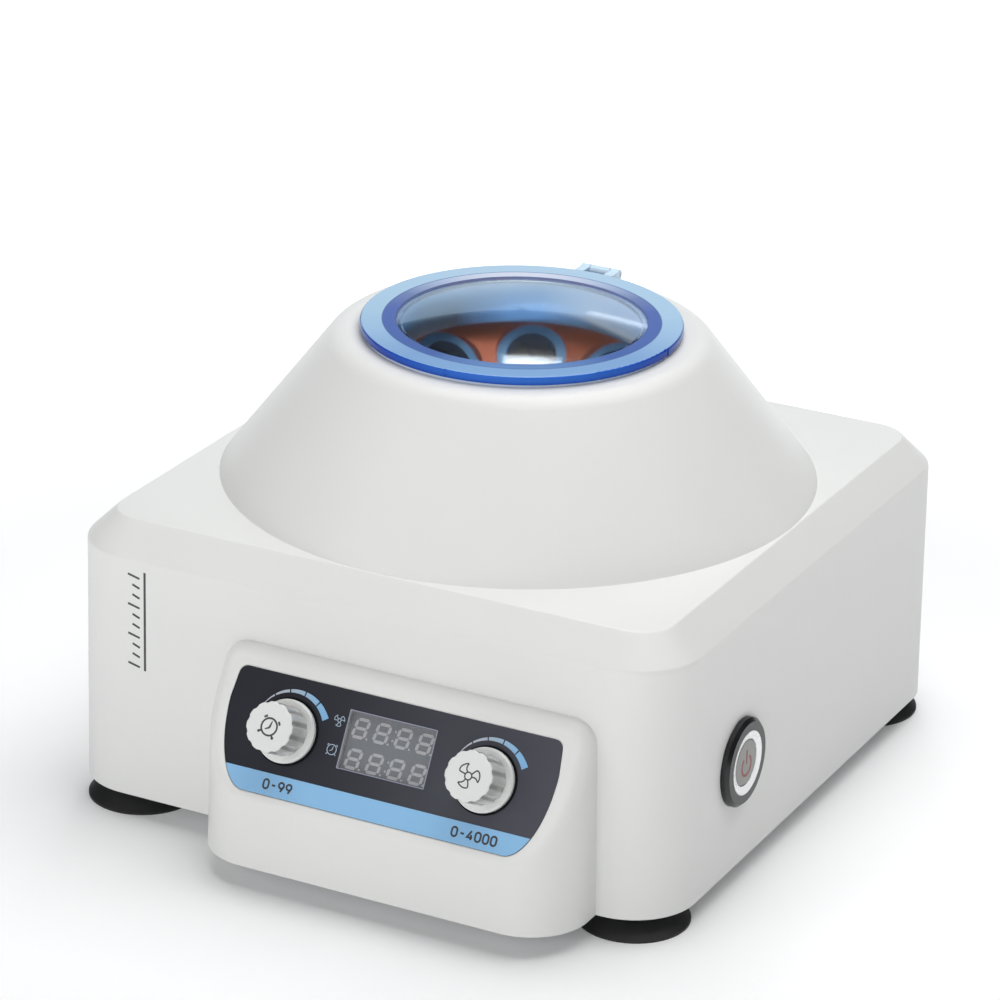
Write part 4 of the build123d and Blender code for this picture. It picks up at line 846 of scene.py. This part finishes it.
def numeral_strokes(character):
    """Strokes of a plain round numeral in a box 0.62 wide and 1 high, as (points, closed)."""
    zero = arc((0.31, 0.69), 0.31, 0, 180, 12) + arc((0.31, 0.31), 0.31, 180, 360, 12)
    strokes = {
        "0": [(zero, True)],
        "9": [(circle((0.31, 0.69), 0.31, 20), True), ([(0.60, 0.60), (0.30, 0.0)], False)],
        "4": [([(0.62, 0.26), (0.0, 0.26), (0.42, 1.0)], False), ([(0.45, 0.58), (0.45, 0.0)], False)],
        "-": [([(0.10, 0.5), (0.52, 0.5)], False)],
    }
    return strokes[character]


def add_numerals(name, text, middle):
    """A row of numerals, printed on the stripe under a knob: a usual range for such a knob."""
    bm = bmesh.new()
    pitch = NUMERAL_HEIGHT * 0.95
    left = middle - pitch * (len(text) - 1) / 2 - 0.31 * NUMERAL_HEIGHT
    base = overlay_face + INK
    for place, character in enumerate(text):
        for points, closed in numeral_strokes(character):
            moved = [(left + place * pitch + x * NUMERAL_HEIGHT, NUMERAL_ROW + y * NUMERAL_HEIGHT)
                     for x, y in points]
            add_stroke(bm, moved, NUMERAL_STROKE, base, base + INK, closed)
    make_piece(name, bm, panel, "housing", dark_print)


add_overlay_stripe()
level_print = level_material()
for knob in ("time", "speed"):
    add_level_arc(knob, level_print)
add_panel_signs()
add_numerals("time_numerals", "0-99", knob_x["time"] + 1.5 * MM)
add_numerals("speed_numerals", "0-4000", knob_x["speed"] + 1.0 * MM)

# ---------------------------------------------------------------- display

DIGIT_WIDTH = 5.9 * MM
DIGIT_HEIGHT = 7.7 * MM
DIGIT_PITCH = 8.68 * MM
DIGIT_SLANT = 0.16
DIGIT_LEFT = 1.25 * MM
DIGIT_ROWS = (0.7 * MM, 11.95 * MM)
SEGMENT_WIDTH = 1.15 * MM
SEGMENT_GAP = 0.16 * MM
DOT_RADIUS = 0.40 * MM
SEGMENT_THICKNESS = 0.04 * MM
SEGMENT_DEPTH = 0.10 * MM
FRAME_LINE = 0.28 * MM
COLON_HEIGHTS = (0.29, 0.73)
COLON_SHIFT = 0.45 * MM
POINT_GAP = 0.10 * MM
MASK_INSET = 0.15 * MM
MASK_LEVELS = (0.6 * MM, 0.12 * MM)

window_low, window_high = panel_box("display_window")
segment_print = moulded("segment_print", (0.62, 0.63, 0.65), 0.5)
mask_face = moulded("mask_face", (0.20, 0.215, 0.235), 0.5)


def add_segment(bm, start, end, place, low):
    """One display segment with pointed ends, between two corners of a digit."""
    start, end = Vector(start), Vector(end)
    along = (end - start).normalized()
    across = Vector((-along.y, along.x)) * SEGMENT_WIDTH / 2
    start = start + along * SEGMENT_GAP
    end = end - along * SEGMENT_GAP
    shoulder = along * SEGMENT_WIDTH / 2
    outline = [start, start + shoulder - across, end - shoulder - across, end,
               end - shoulder + across, start + shoulder + across]
    slanted = [(place[0] + p.x + p.y * DIGIT_SLANT, place[1] + p.y) for p in outline]
    add_slab(bm, slanted, low, low + SEGMENT_THICKNESS)


def add_digits():
    """Two rows of four unlit seven-segment digits with colons and points."""
    bm = bmesh.new()
    low = window_low.z - SEGMENT_DEPTH
    right = DIGIT_WIDTH - SEGMENT_WIDTH
    top = DIGIT_HEIGHT - SEGMENT_WIDTH
    corners = ((0, 0), (right, 0), (0, top / 2), (right, top / 2), (0, top), (right, top))
    for row in DIGIT_ROWS:
        for digit in range(4):
            place = (window_low.x + DIGIT_LEFT + digit * DIGIT_PITCH + SEGMENT_WIDTH / 2,
                     window_low.y + row + SEGMENT_WIDTH / 2)
            for a, b in ((0, 1), (2, 3), (4, 5), (0, 2), (2, 4), (1, 3), (3, 5)):
                add_segment(bm, corners[a], corners[b], place, low)
            point = (place[0] + DIGIT_WIDTH + POINT_GAP, place[1])
            add_slab(bm, circle(point, DOT_RADIUS, 16), low, low + SEGMENT_THICKNESS)
        for height in COLON_HEIGHTS:
            middle = window_low.x + DIGIT_LEFT + 1.5 * DIGIT_PITCH + DIGIT_WIDTH / 2
            y = window_low.y + row + height * DIGIT_HEIGHT
            dot = (middle + COLON_SHIFT + height * DIGIT_HEIGHT * DIGIT_SLANT, y)
            add_slab(bm, circle(dot, DOT_RADIUS, 16), low, low + SEGMENT_THICKNESS)
    make_piece("digit_segments", bm, panel, "housing", segment_print)


def window_outline(inset):
    """The display window's four corners, drawn in by an inset."""
    left, right = window_low.x + inset, window_high.x - inset
    bottom, top = window_low.y + inset, window_high.y - inset
    return [(left, bottom), (right, bottom), (right, top), (left, top)]


def add_display_mask():
    """Grey card behind the window, which carries the segments, and a thin line round the window."""
    bm = bmesh.new()
    lowest, highest = (window_low.z - below for below in MASK_LEVELS)
    add_slab(bm, window_outline(MASK_INSET), lowest, highest)
    make_piece("display_mask", bm, panel, "housing", mask_face)
    bm = bmesh.new()
    face = window_high.z
    add_stroke(bm, window_outline(FRAME_LINE / 2), FRAME_LINE, face, face + INK, closed=True)
    make_piece("window_line", bm, panel, "housing", window_line)


window_line = moulded("window_line", (0.32, 0.33, 0.44), 0.3)
add_digits()
add_display_mask()

# ---------------------------------------------------------------- knob faces


def knob_matrix(which):
    """The panel's axes, moved to a knob's centre."""
    matrix = panel.copy()
    matrix.translation = Vector(joints[f"{which}_turn"]["pos_m"])
    return matrix


for knob in ("time", "speed"):
    knob_top = panel_box(f"{knob}_knob")[1].z
    sign = bmesh.new()
    if knob == "time":
        add_clock(sign, (0, 0), 3.15 * MM, 0.70 * MM, knob_top, knob_top + INK, -15)
    else:
        add_fan(sign, (0, 0), 4.4 * MM, 0.52 * MM, knob_top, knob_top + INK, -3)
    make_piece(f"{knob}_knob_sign", sign, knob_matrix(knob), f"{knob}_dial", grey_print)

# ---------------------------------------------------------------- painted shadow rings round the knobs

SHADOW_RING_OUTER = 12.5 * MM
SHADOW_RING_INNER = 11.9 * MM
SHADOW_RING_RISE = 0.12 * MM
SHADOW_RING_THICKNESS = 0.45 * MM
SHADOW_RING_STEPS = 64


def add_shadow_ring(which, look):
    """A thin black ring on the overlay, round a knob's skirt: a painted shadow for the dark gap and shade under
    the skirt.
    """
    low = overlay_face + SHADOW_RING_RISE
    high = low + SHADOW_RING_THICKNESS
    profile = [(SHADOW_RING_OUTER, low), (SHADOW_RING_OUTER, high), (SHADOW_RING_INNER, high), (SHADOW_RING_INNER, low)]
    bm = bmesh.new()
    add_revolved(bm, profile, SHADOW_RING_STEPS, False)
    make_piece(f"{which}_washer", bm, knob_matrix(which), "housing", look)


# Black of the painted shadow under the knobs' skirts.
black_shadow_ring = moulded("black_shadow_ring", (0.006, 0.006, 0.007), 0.8, grain=900, depth=0.00003, spread=0.1,
                      Specular_IOR_Level=0.1)
for knob in ("time", "speed"):
    add_shadow_ring(knob, black_shadow_ring)

# ---------------------------------------------------------------- power sign

POWER_RADIUS = 3.8 * MM
POWER_STROKE = 1.0 * MM
POWER_MIDDLE = (0.5 * MM, -1.4 * MM)
POWER_ARC_DEG = (128, 412)
POWER_BAR = (-0.6 * MM, 4.9 * MM)

red_lens = moulded("red_lens", (0.27, 0.030, 0.038), 0.4, grain=500, depth=0.000006, spread=0.12)


def add_power_sign():
    """The standard on and standby sign in the middle of the push button."""
    low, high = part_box("switch_button")
    place = Matrix.Translation(Vector((high.x, (low.y + high.y) / 2, (low.z + high.z) / 2)))
    place = place @ Matrix(((0, 0, 1), (1, 0, 0), (0, 1, 0))).to_4x4()
    bm = bmesh.new()
    add_stroke(bm, arc(POWER_MIDDLE, POWER_RADIUS, *POWER_ARC_DEG, 40), POWER_STROKE, 0, INK)
    add_stroke(bm, [(POWER_MIDDLE[0], y) for y in POWER_BAR], POWER_STROKE, 0, INK)
    make_piece("power_sign", bm, place, "power_key", red_lens)


add_power_sign()

# ---------------------------------------------------------------- rule and ticks on the front wall

RULE_X = -89.5 * MM
RULE_Z = (61.5 * MM, 101.0 * MM)
RULE_WIDTH = 0.95 * MM
TICK_COUNT = 10
TICK_LENGTH = 5.0 * MM
SHORT_TICK = 0.62
TICK_GAP = 2.2 * MM
TICK_WIDTH = 0.85 * MM


def front_wall_y(x, z):
    """Where the front wall is, straight behind a point of the front view."""
    shell = frame["nodes"]["upper_housing"]
    hit, place, _, _ = shell.ray_cast(Vector((x, -1.0, z)), Vector((0, 1, 0)))
    return place.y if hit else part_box("upper_housing")[0].y


def add_front_rule():
    """A printed rule with a column of slanted ticks beside it, on the left of the front wall."""
    bottom, top = RULE_Z
    low = Vector((RULE_X, front_wall_y(RULE_X, bottom), bottom))
    high = Vector((RULE_X, front_wall_y(RULE_X, top), top))
    up = (high - low).normalized()
    right = Vector((1, 0, 0))
    outward = right.cross(up)
    place = Matrix((right, up, outward)).transposed().to_4x4()
    place.translation = low
    length = (high - low).length
    bm = bmesh.new()
    add_stroke(bm, [(0, 0), (0, length)], RULE_WIDTH, -INK, INK)
    for tick in range(TICK_COUNT):
        y = length * (tick + 0.45) / TICK_COUNT
        reach = TICK_LENGTH if tick % 3 == 0 else TICK_LENGTH * SHORT_TICK
        ends = [(-TICK_GAP, y - 0.7 * MM), (-TICK_GAP - reach, y + 0.5 * MM)]
        add_stroke(bm, ends, TICK_WIDTH, -INK, INK)
    make_piece("front_rule", bm, place, "housing", grey_print)


add_front_rule()

# ---------------------------------------------------------------- skirt under the lid, painted with reflection, shade and glow

SKIRT_OUTER = 47.6 * MM
SKIRT_INNER = 46.3 * MM
SKIRT_DEPTH = 15.0 * MM
SKIRT_STEPS = 128
SKIRT_GLOW = 0.22
SKIRT_WAVES = 5.0
SKIRT_WAVE_HEIGHT = 0.9 * MM

# Painted reflection and shade down the skirt's inner wall, from its lower edge up: at the back, to the left and to
# the right.
SKIRT_BACK = ((0.00, (0.07, 0.20, 0.40)), (0.10, (0.17, 0.46, 0.86)), (0.38, (0.17, 0.44, 0.86)),
              (0.50, (0.09, 0.27, 0.55)), (0.70, (0.08, 0.23, 0.46)), (0.88, (0.13, 0.26, 0.45)),
              (1.00, (0.26, 0.34, 0.50)))
SKIRT_LEFT = ((0.00, (0.12, 0.12, 0.14)), (0.10, (0.07, 0.085, 0.11)), (0.25, (0.05, 0.07, 0.10)),
              (0.42, (0.03, 0.07, 0.12)), (0.65, (0.04, 0.10, 0.20)), (0.85, (0.10, 0.20, 0.34)),
              (1.00, (0.18, 0.22, 0.38)))
SKIRT_RIGHT = ((0.00, (0.10, 0.15, 0.19)), (0.14, (0.09, 0.15, 0.22)), (0.26, (0.50, 0.58, 0.62)),
               (0.40, (0.42, 0.52, 0.62)), (0.70, (0.36, 0.46, 0.62)), (1.00, (0.40, 0.46, 0.64)))


def skirt_material():
    """Blue plastic with painted reflection and shade in soft, wavy bands round its inner wall, turned by
    LID_FRONT_DEG, and a painted glow.
    """
    material = new_material("painted_light_skirt", (0.18, 0.36, 0.66), 0.15)
    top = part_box("lid_window")[0].z
    x, y, z = axes_of(material, coordinates(material))
    turn = calculated(material, "SUBTRACT", calculated(material, "ARCTAN2", y, x),
                      math.radians(LID_FRONT_DEG + 180))
    wave = calculated(material, "SINE", calculated(material, "MULTIPLY", turn, SKIRT_WAVES))
    level = calculated(material, "ADD", z, calculated(material, "MULTIPLY", wave, SKIRT_WAVE_HEIGHT))
    height = scaled(material, level, top - SKIRT_DEPTH, top)
    leftness = calculated(material, "SINE", turn)
    looks = [ramp(material, height, stops) for stops in (SKIRT_BACK, SKIRT_LEFT, SKIRT_RIGHT)]
    colour = blended(material, scaled(material, leftness, 0.10, 0.55), looks[0], looks[1])
    colour = blended(material, scaled(material, leftness, -0.15, -0.60), colour, looks[2])
    link(material, colour, shader_of(material).inputs["Base Color"])
    # Painted glow: the skirt gives off light though it is no lamp.
    link(material, colour, shader_of(material).inputs["Emission Color"])
    shader_of(material).inputs["Emission Strength"].default_value = SKIRT_GLOW
    add_bump(material, noise(material, 120, 1.0), 0.00003, 0.2)
    return material


def add_lid_skirt():
    """A thin blue ring that hangs from the lid into the chamber's mouth, rounded at its lower edge, to carry
    painted reflection, shade and glow.
    """
    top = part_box("lid_window")[0].z
    middle = (SKIRT_OUTER + SKIRT_INNER) / 2
    half = (SKIRT_OUTER - SKIRT_INNER) / 2
    profile = [(SKIRT_OUTER, top), (SKIRT_OUTER, top - SKIRT_DEPTH + half)]
    profile += arc((middle, top - SKIRT_DEPTH + half), half, 0, -180, 6)[1:]
    profile += [(SKIRT_INNER, top)]
    bm = bmesh.new()
    add_revolved(bm, profile, SKIRT_STEPS, True)
    make_piece("painted_light_skirt", bm, Matrix(), "lid", skirt_material())


add_lid_skirt()

# ---------------------------------------------------------------- floor

FLOOR_HALF = 6.0
FLOOR_STRENGTH = 1.0
FLOOR_REACH = 2.0
# Distance from the rotor's axis in metres, and how brightly the floor glows there.
FLOOR_GLOW = ((0.28, 0.09), (0.55, 0.36), (1.1, 0.95))


def add_floor():
    """A plain pale floor."""
    bm = bmesh.new()
    corners = ((-1, -1), (1, -1), (1, 1), (-1, 1))
    bm.faces.new([bm.verts.new((x * FLOOR_HALF, y * FLOOR_HALF, 0)) for x, y in corners])
    mesh = bpy.data.meshes.new("floor")
    bm.to_mesh(mesh)
    bm.free()
    floor = bpy.data.objects.new("floor", mesh)
    scene.collection.objects.link(floor)
    look = new_material("floor_paper", (0.96, 0.965, 0.97), 0.75, Specular_IOR_Level=0.1)
    add_bump(look, noise(look, 500), 0.00001, 0.2)
    reach = scaled(look, axis_distance(look), 0, FLOOR_REACH)
    glow = ramp(look, reach, [(far / FLOOR_REACH, (level, level, level)) for far, level in FLOOR_GLOW])
    link(look, glow, shader_of(look).inputs["Emission Color"])
    shader_of(look).inputs["Emission Strength"].default_value = FLOOR_STRENGTH
    mesh.materials.append(look)


add_floor()
